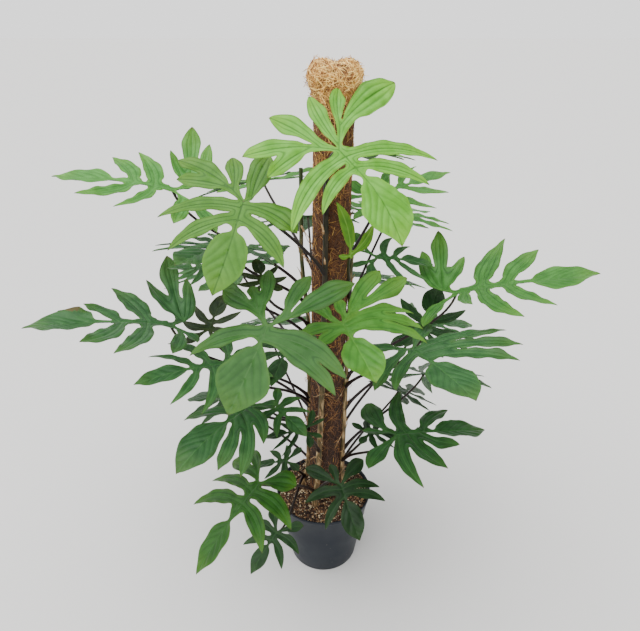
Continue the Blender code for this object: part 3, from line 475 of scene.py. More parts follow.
def new_material(name):
    """An empty node material: its tree and the shader that reaches the output."""
    made = bpy.data.materials.new(name)
    made.use_nodes = True
    tree = made.node_tree
    tree.nodes.clear()
    surface = add(tree, "BsdfPrincipled")
    add(tree, "OutputMaterial", links={"Surface": surface})
    return made, tree, surface.node


# Meshes and pieces

def around(angle, radius, z=0.0):
    """A place at an angle and a distance from an upright axis."""
    return Vector((radius * math.cos(angle), radius * math.sin(angle), z))


def new_object(name, data):
    obj = bpy.data.objects.new(name, data)
    bpy.context.scene.collection.objects.link(obj)
    return obj


def finish_piece(obj, finish, replaced=()):
    """Gives a piece its material and its body, and hides what it stands for."""
    obj.data.materials.clear()
    obj.data.materials.append(finish)
    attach(obj, BODY)
    if replaced:
        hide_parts(*replaced)


def welded(made):
    """The bmesh with its doubled corners merged and its faces pointing out."""
    bmesh.ops.remove_doubles(made, verts=made.verts, dist=WELD)
    bmesh.ops.recalc_face_normals(made, faces=made.faces)
    return made


def from_bmesh(name, made, smooth=False):
    mesh = bpy.data.meshes.new(name)
    made.to_mesh(mesh)
    made.free()
    if smooth:
        mesh.shade_smooth()
        mesh.set_sharp_from_angle(angle=math.radians(SHARP_ANGLE))
    return new_object(name, mesh)


def applied(obj):
    """The object with its modifiers applied, or its curve made a mesh with the caps welded on."""
    bpy.context.view_layer.update()
    evaluated = obj.evaluated_get(bpy.context.evaluated_depsgraph_get())
    mesh = bpy.data.meshes.new_from_object(evaluated)
    name = obj.name
    bpy.data.objects.remove(obj, do_unlink=True)
    made = bmesh.new()
    made.from_mesh(mesh)
    bpy.data.meshes.remove(mesh)
    return from_bmesh(name, welded(made), smooth=True)


def tubes(name, runs, resolution):
    """One mesh of round tubes: each run is its points and their radii."""
    curve = bpy.data.curves.new(name, "CURVE")
    curve.dimensions = "3D"
    curve.bevel_depth = 1.0
    curve.bevel_resolution = resolution
    curve.use_fill_caps = True
    for points, radii in runs:
        spline = curve.splines.new("POLY")
        spline.points.add(len(points) - 1)
        for point, place, radius in zip(spline.points, points, radii):
            point.co = (*place, 1.0)
            point.radius = radius
    return applied(new_object(name, curve))


def scattered(name, shape, matrices):
    """One mesh of many copies of a small bmesh, each moved by its own matrix."""
    corners = np.array([(*vert.co, 1.0) for vert in shape.verts])
    faces = np.array([[vert.index for vert in face.verts] for face in shape.faces])
    places = np.einsum("nij,vj->nvi", np.array(matrices), corners)[..., :3].reshape(-1, 3)
    offsets = np.arange(len(matrices))[:, None, None] * len(corners)
    mesh = bpy.data.meshes.new(name)
    mesh.from_pydata(places.tolist(), [], (faces + offsets).reshape(-1, faces.shape[1]).tolist())
    mesh.shade_smooth()
    return new_object(name, mesh)


def islands(mesh):
    """For each vertex the number of the loose body that it belongs to, in the order they were made."""
    ends = np.empty(2 * len(mesh.edges), int)
    mesh.edges.foreach_get("vertices", ends)
    first, second = ends.reshape(-1, 2).T
    label = np.arange(len(mesh.vertices))
    while True:
        low = np.minimum(label[first], label[second])
        new = label.copy()
        np.minimum.at(new, first, low)
        np.minimum.at(new, second, low)
        new = new[new]
        if (new == label).all():
            return np.unique(label, return_inverse=True)[1]
        label = new


def vertex_places(mesh):
    places = np.empty(3 * len(mesh.vertices))
    mesh.vertices.foreach_get("co", places)
    return places.reshape(-1, 3)


def run_numbers(mesh, runs):
    """For each vertex the number of the run that its tube was made from, told by the tube's middle."""
    body = islands(mesh)
    sums = np.stack([np.bincount(body, axis) for axis in vertex_places(mesh).T], axis=1)
    tree = KDTree(len(runs))
    for number, (points, _) in enumerate(runs):
        tree.insert(sum(points, Vector()) / len(points), number)
    tree.balance()
    middles = sums / np.bincount(body)[:, None]
    return np.array([tree.find(middle)[1] for middle in middles])[body]


def paint(mesh, name, values):
    """Stores one number for each vertex, for the piece's material to read."""
    layer = mesh.attributes.get(name) or mesh.attributes.new(name, "FLOAT", "POINT")
    layer.data.foreach_set("value", np.asarray(values, np.float32))


def copy_of(node):
    """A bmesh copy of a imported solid, with its loose triangles merged."""
    made = bmesh.new()
    made.from_mesh(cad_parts[node].data)
    return welded(made)


# The pot

def pot_material(sizes):
    """Injection-moulded polypropylene: dull satin, with faint flow marks and a little dust."""
    made, tree, shader = new_material("pot_moulded_polypropylene")
    place = add(tree, "TexCoord", out="Object")
    # Flow marks are soft clouds, about 70 mm across
    cloud = add(tree, "TexNoise", {"Scale": 14.0, "Detail": 4.0}, {"Vector": place})
    # The mould's draw marks run up the wall, about 4 mm apart
    stretch = add(tree, "Mapping", {"Scale": (250.0, 250.0, 12.0)}, {"Vector": place})
    draw = add(tree, "TexNoise", {"Scale": 1.0, "Detail": 2.0}, {"Vector": stretch})
    # Dust and splashes of potting mix, 2 to 4 mm across
    specks = add(tree, "TexVoronoi", {"Scale": 90.0}, {"Vector": place})
    dust = add(tree, "MapRange", {1: 0.08, 2: 0.15, 3: 0.45, 4: 0.0}, {0: specks})
    chosen = add(tree, "Math", {1: 0.62}, {0: cloud}, operation="GREATER_THAN")
    dusty = add(tree, "Math", links={0: dust, 1: chosen}, operation="MULTIPLY")
    shade = add(tree, "Mix", {6: (*sizes.plastic, 1.0), 7: (*sizes.plastic_worn, 1.0)}, {0: cloud},
                data_type="RGBA")
    whole = add(tree, "Mix", {7: colour("#8A8478")}, {0: dusty, 6: shade}, data_type="RGBA")
    rough = add(tree, "MapRange", {1: 0.3, 2: 0.7, 3: 0.42, 4: 0.58}, {0: cloud})
    bump = add(tree, "Bump", {"Strength": 0.15, "Distance": 0.4 * MM}, {"Height": draw})
    feed(tree, shader, {"Specular IOR Level": 0.25},
         {"Base Color": whole, "Roughness": rough, "Normal": bump})
    return made


def pot_radius(z):
    return POT_BASE_RADIUS + (POT_RIM_RADIUS - POT_LIP - POT_BASE_RADIUS) * z / POT_HEIGHT


def pot_profile(wall):
    """The wall's section from the middle of the inside, over the rim and down to the underside."""
    lip = POT_HEIGHT - POT_LIP_HEIGHT
    return [
        (0.0, wall), (POT_BASE_RADIUS - 2 * wall, wall),
        (pot_radius(wall) - wall, 2.5 * wall), (pot_radius(POT_HEIGHT) - wall, POT_HEIGHT - 0.4 * MM),
        (pot_radius(POT_HEIGHT) - 0.7 * wall, POT_HEIGHT), (POT_RIM_RADIUS - 0.6 * MM, POT_HEIGHT),
        (POT_RIM_RADIUS, POT_HEIGHT - 0.8 * MM), (POT_RIM_RADIUS - 0.5 * MM, lip + 0.3 * MM),
        (POT_RIM_RADIUS - 0.9 * MM, lip), (pot_radius(lip) + 0.3 * MM, lip - 0.2 * MM),
        (pot_radius(lip), lip - 0.8 * MM), (pot_radius(0.6 * POT_HEIGHT), 0.6 * POT_HEIGHT),
        (pot_radius(0.004), 0.004), (POT_BASE_RADIUS - 0.6 * MM, 1.4 * MM),
        (POT_BASE_RADIUS - 3.0 * MM, 0.0), (POT_BASE_RADIUS - 7.0 * MM, 0.0),
        (POT_BASE_RADIUS - 8.0 * MM, 0.8 * MM), (0.0, 0.8 * MM),
    ]


class PLANT_OT_pot(bpy.types.Operator):
    """Makes the round nursery pot with its lip, foot ring and drain holes"""
    bl_idname = "plant.pot"
    bl_label = "Nursery pot"

    def execute(self, context):
        sizes = context.scene.plant_pot
        made = bmesh.new()
        points = [made.verts.new((radius, 0, z)) for radius, z in pot_profile(sizes.wall)]
        edges = [made.edges.new(pair) for pair in zip(points, points[1:])]
        bmesh.ops.spin(made, geom=points + edges, axis=(0, 0, 1), cent=(0, 0, 0),
                       angle=math.tau, steps=sizes.sides, use_merge=True)
        pot = from_bmesh("nursery_pot", welded(made))
        drills = bmesh.new()
        for number in range(DRAIN_HOLES):
            turn = Matrix.Rotation(math.tau * number / DRAIN_HOLES, 4, "Z")
            bmesh.ops.create_cone(drills, cap_ends=True, segments=DRILL_SIDES, radius1=DRAIN_RADIUS,
                                  radius2=DRAIN_RADIUS, depth=DRILL_DEPTH,
                                  matrix=turn @ Matrix.Translation((DRAIN_RING, 0, 0)))
        cutter = from_bmesh("drain_drills", drills)
        pot.modifiers.new("Holes", "BOOLEAN").object = cutter
        pot = applied(pot)
        bpy.data.objects.remove(cutter, do_unlink=True)
        finish_piece(pot, pot_material(sizes), ["pot"])
        return {"FINISHED"}


# Potting mix

def mix_material():
    """Moist peat and composted bark: dark, matt crumbs about 4 mm across."""
    made, tree, shader = new_material("peat_and_bark_mix")
    place = add(tree, "TexCoord", out="Object")
    crumbs = add(tree, "TexNoise", {"Scale": 260.0, "Detail": 6.0, "Roughness": 0.7},
                 {"Vector": place})
    tone = add(tree, "ValToRGB", links={"Fac": crumbs},
               stops=((0.30, "#120B07"), (0.52, "#2E1D12"), (0.72, "#5A3D27")))
    bump = add(tree, "Bump", {"Strength": 0.8, "Distance": 2 * MM}, {"Height": crumbs})
    feed(tree, shader, {"Roughness": 0.95}, {"Base Color": tone, "Normal": bump})
    return made


def chip_material():
    """Bark chips, each with its own tone from near black to straw."""
    made, tree, shader = new_material("bark_chips")
    place = add(tree, "TexCoord", out="Object")
    tint = add(tree, "Attribute", out="Fac", attribute_name="tint")
    # The bark's grain is about 1 mm wide
    grain = add(tree, "TexNoise", {"Scale": 900.0, "Detail": 2.0}, {"Vector": place})
    mixed = add(tree, "Math", {1: 0.25, 2: -0.12}, {0: grain}, operation="MULTIPLY_ADD")
    total = add(tree, "Math", links={0: tint, 1: mixed})
    tone = add(tree, "ValToRGB", links={"Fac": total},
               stops=((0.0, "#1A100B"), (0.3, "#3C281B"), (0.55, "#6A4C34"), (0.8, "#A07C54"),
                      (1.0, "#DCC8A0")))
    feed(tree, shader, {"Roughness": 0.85}, {"Base Color": tone})
    return made


def perlite_material():
    """Expanded perlite: chalk-white, matt grains with pits just under 1 mm across."""
    made, tree, shader = new_material("perlite")
    place = add(tree, "TexCoord", out="Object")
    pits = add(tree, "TexNoise", {"Scale": 1200.0, "Detail": 3.0}, {"Vector": place})
    tone = add(tree, "ValToRGB", links={"Fac": pits}, stops=((0.35, "#B8A37C"), (0.6, "#F0E2C0")))
    feed(tree, shader, {"Roughness": 0.8}, {"Base Color": tone})
    return made


def resting_places(draw, count, size, flatness):
    """Matrices that lay small grains over the top of the potting mix, each turned its own way."""
    ground = BVHTree.FromBMesh(copy_of("potting_mix"))
    inner, outer = POLE_RADIUS + GRAIN_CLEAR[0], pot_radius(MIX_TOP) - GRAIN_CLEAR[1]
    places = []
    while len(places) < count:
        radius = math.sqrt(draw.uniform(inner ** 2, outer ** 2))
        above = around(draw.uniform(0, math.tau), radius, MIX_TOP + GRAIN_DROP)
        hit = ground.ray_cast(above, Vector((0, 0, -1)))[0]
        if hit is None or hit.z < MIX_TOP - GRAIN_HOLE:
            continue
        big = size * draw.uniform(*GRAIN_SIZES)
        turn = Matrix.Rotation(draw.uniform(0, math.tau), 4, "Z")
        tilt = Matrix.Rotation(draw.gauss(0, GRAIN_TILT), 4, "X")
        tilt = tilt @ Matrix.Rotation(draw.gauss(0, GRAIN_TILT), 4, "Y")
        shape = Matrix.Diagonal((big, big * draw.uniform(*GRAIN_WIDTHS), big * flatness, 1.0))
        lift = Vector((0, 0, draw.uniform(0.0, GRAIN_HEAP) * MM))
        places.append(Matrix.Translation(hit + lift) @ turn @ tilt @ shape)
    return places


class PLANT_OT_mix(bpy.types.Operator):
    """Dresses the potting mix and lays bark chips and perlite grains on it"""
    bl_idname = "plant.mix"
    bl_label = "Potting mix"

    def execute(self, context):
        sizes = context.scene.plant_mix
        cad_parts["potting_mix"].material_slots[0].material = mix_material()
        for name, count, size, flatness, finish in (
                ("bark_chips", sizes.chips, sizes.chip_size, CHIP_FLATNESS, chip_material()),
                ("perlite_grains", sizes.perlite, sizes.perlite_size, PERLITE_FLATNESS,
                 perlite_material())):
            draw = random.Random(f"{SEED} {name}")
            shape = bmesh.new()
            bmesh.ops.create_icosphere(shape, subdivisions=1, radius=0.5)
            for vert in shape.verts:
                vert.co *= draw.uniform(*GRAIN_KNOBS)
            shape.verts.index_update()
            grains = scattered(name, shape, resting_places(draw, count, size, flatness))
            shape.free()
            body = islands(grains.data)
            tints = np.array([draw.betavariate(*GRAIN_TINTS) for _ in range(body.max() + 1)])
            paint(grains.data, "tint", tints[body])
            finish_piece(grains, finish)
        return {"FINISHED"}


# Coir pole

def stake_material():
    """Planed softwood: pale, with long grain up the stake, about 3 mm wide."""
    made, tree, shader = new_material("planed_softwood")
    place = add(tree, "TexCoord", out="Object")
    stretch = add(tree, "Mapping", {"Scale": (300.0, 300.0, 8.0)}, {"Vector": place})
    grain = add(tree, "TexNoise", {"Scale": 1.0, "Detail": 3.0}, {"Vector": stretch})
    tone = add(tree, "ValToRGB", links={"Fac": grain}, stops=((0.3, "#8A6A45"), (0.7, "#C9A876")))
    feed(tree, shader, {"Roughness": 0.7}, {"Base Color": tone})
    return made


def core_material():
    """Felted coir behind the loose strands: rust to dark brown, darkest low down, with painted shade
    in its hollows.
    """
    made, tree, shader = new_material("felted_coir")
    place = add(tree, "TexCoord", out="Object")
    # Matted strands, drawn about 2.4 mm wide, coarser than coir, so that they show
    strands = add(tree, "TexNoise", {"Scale": 420.0, "Detail": 5.0, "Distortion": 1.5},
                  {"Vector": place})
    height = add(tree, "SeparateXYZ", links={0: place}, out="Z")
    old = add(tree, "MapRange", {1: 0.2, 2: POLE_TOP, 3: -0.10, 4: 0.16}, {0: height})
    total = add(tree, "Math", links={0: strands, 1: old})
    # The same pattern raises the bump, so its low places, the hollows, come out dark: painted shade
    tone = add(tree, "ValToRGB", links={"Fac": total},
               stops=((0.30, "#0C0705"), (0.46, "#2A180C"), (0.60, "#54331B"), (0.80, "#8E5F34")))
    bump = add(tree, "Bump", {"Strength": 1.0, "Distance": 1.5 * MM}, {"Height": strands})
    feed(tree, shader, {"Roughness": 0.95}, {"Base Color": tone, "Normal": bump})
    return made


def fibre_material():
    """Loose coir: stiff, slightly waxy strands, each dark, rust, tan or straw."""
    made, tree, shader = new_material("coir_fibre")
    tint = add(tree, "Attribute", out="Fac", attribute_name="tint")
    tone = add(tree, "ValToRGB", links={"Fac": tint},
               stops=((0.0, "#1A100A"), (0.28, "#4C2E1A"), (0.52, "#8C5C32"), (0.74, "#CC9848"),
                      (1.0, "#FCD880")))
    feed(tree, shader, {"Roughness": 0.6}, {"Base Color": tone})
    return made


def pole_axis(z):
    return Vector((math.tan(POLE_LEAN) * z, 0.0, z))


def sleeve_core():
    """The sleeve's own form, rounded and roughened, and its surface tree."""
    core = from_bmesh("coir_core", copy_of("coir_sleeve"))
    smooth = core.modifiers.new("Round", "SUBSURF")
    smooth.levels = smooth.render_levels = 2
    rough = core.modifiers.new("Rough", "DISPLACE")
    rough.texture = bpy.data.textures.new("coir_lumps", "CLOUDS")
    rough.texture.noise_scale = LUMP_SIZE
    rough.texture_coords = "GLOBAL"
    rough.strength = LUMP_HEIGHT
    core = applied(core)
    tree = BVHTree.FromPolygons([vert.co for vert in core.data.vertices],
                                [tuple(face.vertices) for face in core.data.polygons])
    return core, tree


def walk(tree, place, direction, steps, step, curl, lift):
    """Points of a strand that follows a surface, turning steadily, at a height over it."""
    points = []
    for number in range(steps):
        near, normal = tree.find_nearest(place)[:2]
        direction = (direction - normal * direction.dot(normal)).normalized()
        raised = lift[0] + (lift[1] - lift[0]) * abs(2 * number / (steps - 1) - 1) ** 3
        points.append(near + normal * raised)
        direction = Matrix.Rotation(curl, 3, normal) @ direction
        place = near + direction * step
    return points


def strand_runs(tree, sizes, draw, count, low, high):
    """Strands between two heights: netted on the column, curled tight on the folded head."""
    runs = []
    tints = []
    on_head = high == POLE_TOP
    stray, steps, paces, stand = HEAD_STRANDS if on_head else COLUMN_STRANDS
    width = sizes.head_strand if on_head else sizes.strand
    levels = list(zip(*STRAND_TINTS))
    for _ in range(count):
        z = draw.uniform(low, high)
        axis = pole_axis(min(z, POLE_TOP - HEAD_AXIS * HEAD_HEIGHT))
        out = around(draw.uniform(0, math.tau), 1.0)
        aim = axis if z < POLE_NECK else pole_axis(POLE_NECK)
        origin = Vector((axis.x, axis.y, z)) + out * RAY_OUT * POLE_RADIUS
        if on_head and draw.random() < TOP_SHARE:
            origin = pole_axis(POLE_TOP) + out * POLE_RADIUS * TOP_REACH * math.sqrt(draw.random())
            origin.z += RAY_OVER
            aim = Vector((origin.x, origin.y, 0))
        hit = tree.ray_cast(origin, (aim - origin).normalized())[0]
        if hit is None:
            continue
        slope = draw.gauss(*HEAD_SLOPE) if on_head else \
            draw.choice((-1, 1)) * draw.gauss(*COLUMN_SLOPE)
        level = Vector((0, 0, 1)).cross(out)
        direction = level * math.cos(slope) + Vector((0, 0, 1)) * math.sin(slope)
        curl = draw.gauss(0, stray)
        near = draw.uniform(*STRAND_STAND) * MM
        far = near + draw.expovariate(1 / (stand * MM))
        if on_head and draw.random() < LOOSE_SHARE:
            far += draw.uniform(*LOOSE_STAND) * MM
        step = draw.uniform(*paces) * MM
        points = walk(tree, hit, direction, steps, step, curl, (near, far))
        thick = width * draw.uniform(*STRAND_WIDTHS) / 2
        ends = (0, steps - 1)
        runs.append((points, [thick * (STRAND_END if i in ends else 1.0) for i in range(steps)]))
        tint = np.interp(z, *levels)
        # Painted shade on the head's strands near the crease between its lobes
        tint -= CREASE_SHADE * on_head * math.exp(-((hit.x - axis.x) / CREASE_WIDTH) ** 2)
        tint += PALE_TINT if draw.random() < PALE_SHARE else DARK_TINT
        tints.append(min(1.0, max(0.0, draw.gauss(tint, TINT_STRAY))))
    return runs, tints


def binding_runs(sizes, draw):
    """Turns of spun fibre round the pole's neck, which hold the folded head down."""
    runs = []
    tints = []
    for _ in range(sizes.turns):
        z = POLE_NECK - draw.uniform(*BINDING_BAND) * CM
        tilt = draw.gauss(0, BINDING_TILT)
        phase = draw.uniform(0, math.tau)
        points = []
        for i in range(BINDING_STEPS + 1):
            angle = math.tau * i / BINDING_STEPS
            radius = POLE_RADIUS + draw.uniform(*BINDING_STAND) * MM
            rise = tilt * radius * math.cos(angle + phase) + draw.gauss(0, BINDING_STRAY) * MM
            points.append(pole_axis(z) + around(angle, radius, rise))
        runs.append((points, [sizes.strand * draw.uniform(*BINDING_WIDTHS)] * len(points)))
        tints.append(draw.uniform(*BINDING_TINTS))
    return runs, tints


class PLANT_OT_pole(bpy.types.Operator):
    """Makes the coir pole: its felted core, the tangled strands and the binding under its head"""
    bl_idname = "plant.pole"
    bl_label = "Coir pole"

    def execute(self, context):
        sizes = context.scene.plant_pole
        draw = random.Random(SEED)
        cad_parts["pole_stake"].material_slots[0].material = stake_material()
        core, tree = sleeve_core()
        finish_piece(core, core_material(), ["coir_sleeve"])
        fibre = fibre_material()
        middle = (MIX_TOP + POLE_NECK) / 2
        zones = {"coir_strands_low": (sizes.strands, MIX_TOP, middle),
                 "coir_strands_high": (sizes.strands, middle, POLE_NECK),
                 "head_strands": (sizes.head_strands, POLE_NECK, POLE_TOP)}
        made = {name: strand_runs(tree, sizes, draw, *zone) for name, zone in zones.items()}
        made["neck_binding"] = binding_runs(sizes, draw)
        for name, (runs, tints) in made.items():
            strands = tubes(name, runs, 0)
            paint(strands.data, "tint", np.array(tints)[run_numbers(strands.data, runs)])
            finish_piece(strands, fibre)
        return {"FINISHED"}


# Stems, petioles and aerial roots

def stem_point(name, share):
    """The middle of a climbing stem, from its foot in the mix (0) to its top (1)."""
    side, top, radius, turn = STEMS[name]
    z = STEM_FOOT + (top - STEM_FOOT) * share
    bent = max(z, SPREAD_LOW)
    angle = math.radians(side + turn * math.sin(STEM_WIND * (bent - STEM_FOOT)))
    spread = max(0.0, SPREAD_HIGH - bent) / (SPREAD_HIGH - SPREAD_LOW)
    out = POLE_RADIUS + radius + STEM_GAP + STEM_SPREAD * spread ** 2
    out += STEM_LEAN.get(name, 0.0) * float(ease(z, LEAN_LOW, LEAN_HIGH))
    place = pole_axis(bent) + around(angle, out)
    place.z = z
    return place


def leaf_axes(angles):
    """The blade's end direction, right side and upper normal."""
    heading, pitch, roll = (math.radians(angle) for angle in angles)
    end = Vector((math.cos(heading) * math.cos(pitch), math.sin(heading) * math.cos(pitch),
                  math.sin(pitch)))
    level = Vector((math.sin(heading), -math.cos(heading), 0))
    up = level.cross(end)
    side = level * math.cos(roll) + up * math.sin(roll)
    return end, side, up * math.cos(roll) - level * math.sin(roll)


def stem_share(stem, base):
    """Where a leaf's petiole leaves its stem: lower for a blade that stands further out."""
    top = STEMS[stem][1]
    side = stem_point(stem, 0.5)
    out = math.hypot(base.x - side.x, base.y - side.y)
    z = min(base.z - PETIOLE_DROP - PETIOLE_SLOPE * out, top - TOP_NODE)
    return (max(z, LOWEST_NODE) - STEM_FOOT) / (top - STEM_FOOT)


def petiole_line(stem, base, angles):
    """Petiole from inside its stem, up and outwards, to just under the blade's base."""
    end, _, up = leaf_axes(angles)
    arrive = (PETIOLE_ARRIVE[0] * end + PETIOLE_ARRIVE[1] * up).normalized()
    tip = base - up * (PETIOLE_SEAT * PETIOLE_TIP)
    foot = stem_point(stem, stem_share(stem, base))
    reach = (tip - foot).length
    outward = ((tip - foot) * Vector((1, 1, 0))).normalized()
    leave = (outward * PETIOLE_LEAVE[0] + Vector((0, 0, PETIOLE_LEAVE[1]))).normalized()
    handles = (foot, foot + leave * reach * PETIOLE_HANDLES[0],
               tip - arrive * reach * PETIOLE_HANDLES[1], tip)
    points = []
    for number in range(PETIOLE_POINTS):
        t = number / (PETIOLE_POINTS - 1)
        weights = ((1 - t) ** 3, 3 * t * (1 - t) ** 2, 3 * t * t * (1 - t), t ** 3)
        points.append(sum((handle * w for handle, w in zip(handles, weights)), Vector()))
    return points


def petiole_radii(points):
    """A sheath where it leaves the stem, and a swollen joint under the blade."""
    radii = []
    steps = [0.0, *((b - a).length for a, b in zip(points, points[1:]))]
    total = sum(steps)
    run = 0.0
    for step in steps:
        run += step
        plain = PETIOLE_BASE * PETIOLE_THIN
        plain += (PETIOLE_TIP - plain) * run / total
        sheath = FOOT_SWELL[0] * PETIOLE_BASE * math.exp(-(run / FOOT_SWELL[1]) ** 2)
        joint = JOINT_SWELL[0] * PETIOLE_TIP * math.exp(-((total - run) / JOINT_SWELL[1]) ** 2)
        radii.append(plain + sheath + joint)
    return radii


def stem_material(sizes):
    """Philodendron stem: green and satin where young, dark petioles, grey-tan and corky when old."""
    made, tree, shader = new_material("philodendron_stem")
    place = add(tree, "TexCoord", out="Object")
    bark = add(tree, "Attribute", out="Fac", attribute_name="bark")
    dark = add(tree, "Attribute", out="Fac", attribute_name="dark")
    # Corky patches 15 to 30 mm long, drawn out along the stem
    stretch = add(tree, "Mapping", {"Scale": (160.0, 160.0, 38.0)}, {"Vector": place})
    patches = add(tree, "TexNoise", {"Scale": 1.0, "Detail": 4.0}, {"Vector": stretch})
    spread = add(tree, "Math", {1: 1.6, 2: -0.8}, {0: patches}, operation="MULTIPLY_ADD")
    corky = add(tree, "Math", links={0: bark, 1: spread}, use_clamp=True)
    fresh = add(tree, "Mix", {6: (*sizes.green, 1.0), 7: (*sizes.olive, 1.0)}, {0: patches},
                data_type="RGBA")
    woody = add(tree, "ValToRGB", links={"Fac": patches},
                stops=((0.32, "#3C2A1A"), (0.5, "#7A6142"), (0.68, "#B39B72")))
    stem = add(tree, "Mix", links={0: corky, 6: fresh, 7: woody}, data_type="RGBA")
    whole = add(tree, "Mix", {7: (*sizes.dark, 1.0)}, {0: dark, 6: stem}, data_type="RGBA")
    rough = add(tree, "MapRange", {3: 0.38, 4: 0.8}, {0: corky})
    bump = add(tree, "Bump", {"Strength": 0.5, "Distance": 0.6 * MM}, {"Height": patches})
    feed(tree, shader, {"Specular IOR Level": 0.25},
         {"Base Color": whole, "Roughness": rough, "Normal": bump})
    return made


def root_material():
    """Dried aerial roots: papery, with pale tan and brown stretches about 8 mm long."""
    made, tree, shader = new_material("dried_aerial_root")
    place = add(tree, "TexCoord", out="Object")
    skin = add(tree, "TexNoise", {"Scale": 120.0, "Detail": 3.0}, {"Vector": place})
    tone = add(tree, "ValToRGB", links={"Fac": skin},
               stops=((0.3, "#5E4029"), (0.55, "#A07E56"), (0.75, "#DCC8A0")))
    feed(tree, shader, {"Roughness": 0.85}, {"Base Color": tone})
    return made


def climbing_stem(name, sizes):
    """A stem's own line and radii, with a swollen ring at each node."""
    _, top, radius, _ = STEMS[name]
    length = top - STEM_FOOT
    count = round(length / sizes.stem_step)
    points, radii = [], []
    for number in range(count + 1):
        share = number / count
        from_node = (share * length / sizes.internode + 0.5) % 1.0 - 0.5
        ring = sizes.node_swell * math.exp(-(from_node * sizes.internode / RING_WIDTH) ** 2)
        points.append(stem_point(name, share))
        radii.append(radius * (1 - STEM_TAPER * share) * (1 + ring))
    return points, radii


class PLANT_OT_stems(bpy.types.Operator):
    """Makes the climbing stems with their rings and every leaf's petiole"""
    bl_idname = "plant.stems"
    bl_label = "Stems and petioles"

    def execute(self, context):
        sizes = context.scene.plant_stems
        finish = stem_material(sizes)
        for name in STEMS:
            runs = [climbing_stem(name, sizes)]
            bases = []
            for owner, place, angles, _, shade, _ in LEAVES.values():
                if owner != name:
                    continue
                base = Vector(place) * CM
                line = petiole_line(name, base, angles)
                runs.append((line, petiole_radii(line)))
                bases.append((base, YOUNG_DARK if shade in YOUNG_SHADES else OLD_DARK))
            stem = tubes(f"climbing_{name}", runs, 2)
            body = run_numbers(stem.data, runs)
            co = vertex_places(stem.data)
            cork = np.interp(co[:, 2], *zip(*STEM_CORK))
            dark = np.interp(co[:, 2], DARK_HEIGHTS, (0.0, STEM_DARK.get(name, 0.0)))
            for number, (base, darkness) in enumerate(bases, 1):
                mine = body == number
                away = np.linalg.norm(co[mine] - np.array(base), axis=1)
                dark[mine] = np.interp(away, DARK_AWAY, darkness)
                cork[mine] = 0.0
            paint(stem.data, "bark", cork)
            paint(stem.data, "dark", dark)
            finish_piece(stem, finish, [name])
        return {"FINISHED"}


def stem_nodes(sizes, first, end=math.inf):
    """Nodes of each stem from the first one up: the stem's radius, the node's place, and how it
    stands off the pole's axis."""
    for name, (_, top, radius, _) in STEMS.items():
        length = top - STEM_FOOT
        for node in range(first, min(end, int(length / sizes.internode))):
            place = stem_point(name, node * sizes.internode / length)
            yield radius, place, place - pole_axis(place.z)


def holding_roots(draw, sizes):
    """Roots that leave a node and lie round the pole as they fall, sunk among its strands."""
    runs = []
    for _, start, off in stem_nodes(sizes, 1):
        angle = math.atan2(off.y, off.x)
        for _ in range(draw.choice(NODE_ROOTS)):
            turn = draw.choice((-1, 1)) * draw.uniform(*ROOT_TURN)
            length = draw.uniform(*ROOT_LENGTH) * CM
            fall = draw.uniform(*ROOT_FALL)
            points = []
            for i in range(ROOT_POINTS):
                share = i / (ROOT_POINTS - 1)
                turned = angle + turn * share * length / POLE_RADIUS / ROOT_WRAP
                out = POLE_RADIUS + (off.length - POLE_RADIUS) * (1 - share) ** 2
                out += draw.uniform(*ROOT_STAND) * MM
                z = start.z - fall * share + draw.gauss(0, ROOT_STRAY) * MM
                points.append(pole_axis(z) + around(turned, out))
            thick = draw.uniform(*ROOT_WIDTHS) * MM
            runs.append((points, [thick * (ROOT_TAPER[0] - ROOT_TAPER[1] * i / ROOT_POINTS)
                                  for i in range(ROOT_POINTS)]))
    return runs


def free_roots(draw, sizes):
    """Short curled roots that stand off the low nodes without reaching the pole."""
    runs = []
    for _, place, off in stem_nodes(sizes, *FREE_NODES):
        for _ in range(FREE_ROOTS):
            way = Matrix.Rotation(draw.uniform(-FREE_SWING, FREE_SWING), 3, "Z") @ off.normalized()
            way = (way + Vector((0, 0, draw.uniform(*FREE_RISE)))).normalized()
            turn = draw.choice((-1, 1)) * draw.uniform(*FREE_CURL)
            points = [place]
            for _ in range(FREE_POINTS):
                points.append(points[-1] + way * sizes.root_step)
                way = Matrix.Rotation(turn, 3, "Z") @ way
                way = (way + Vector((0, 0, draw.gauss(*FREE_STRAY)))).normalized()
            thick = draw.uniform(*FREE_WIDTHS) * MM
            runs.append((points[:-1], [thick * (FREE_TAPER[0] - FREE_TAPER[1] * i)
                                       for i in range(FREE_POINTS)]))
    return runs


def sheath_runs(draw, sizes):
    """Dried leaf sheaths: thin pointed scales that stand up beside the upper nodes."""
    runs = []
    for radius, place, off in stem_nodes(sizes, SHEATH_NODE):
        swing = draw.uniform(-SHEATH_SWING, SHEATH_SWING)
        out = Matrix.Rotation(swing, 3, "Z") @ off.normalized()
        length = draw.uniform(*SHEATH_LENGTH) * CM
        points = [place + out * (radius * SHEATH_STAND + SHEATH_LEAN * length * t * t)
                  + Vector((0, 0, length * t)) for t in SHEATH_SHARES]
        runs.append((points, [radius * (SHEATH_TAPER[0] - SHEATH_TAPER[1] * t)
                              for t in SHEATH_SHARES]))
    return runs


class PLANT_OT_roots(bpy.types.Operator):
    """Makes the aerial roots that hold the stems to the pole, and the dried sheaths"""
    bl_idname = "plant.roots"
    bl_label = "Aerial roots"

    def execute(self, context):
        sizes = context.scene.plant_stems
        draw = random.Random(SEED + 1)
        finish = root_material()
        roots = holding_roots(draw, sizes) + free_roots(draw, sizes)
        for name, runs in (("aerial_roots", roots), ("dried_sheaths", sheath_runs(draw, sizes))):
            finish_piece(tubes(name, runs, 1), finish)
        return {"FINISHED"}


# Leaf blades

def flat(angle, reach):
    """A place in the blade's plane: x to the right, y towards the end lobe."""
    return np.array([reach * math.sin(math.radians(angle)), reach * math.cos(math.radians(angle))])


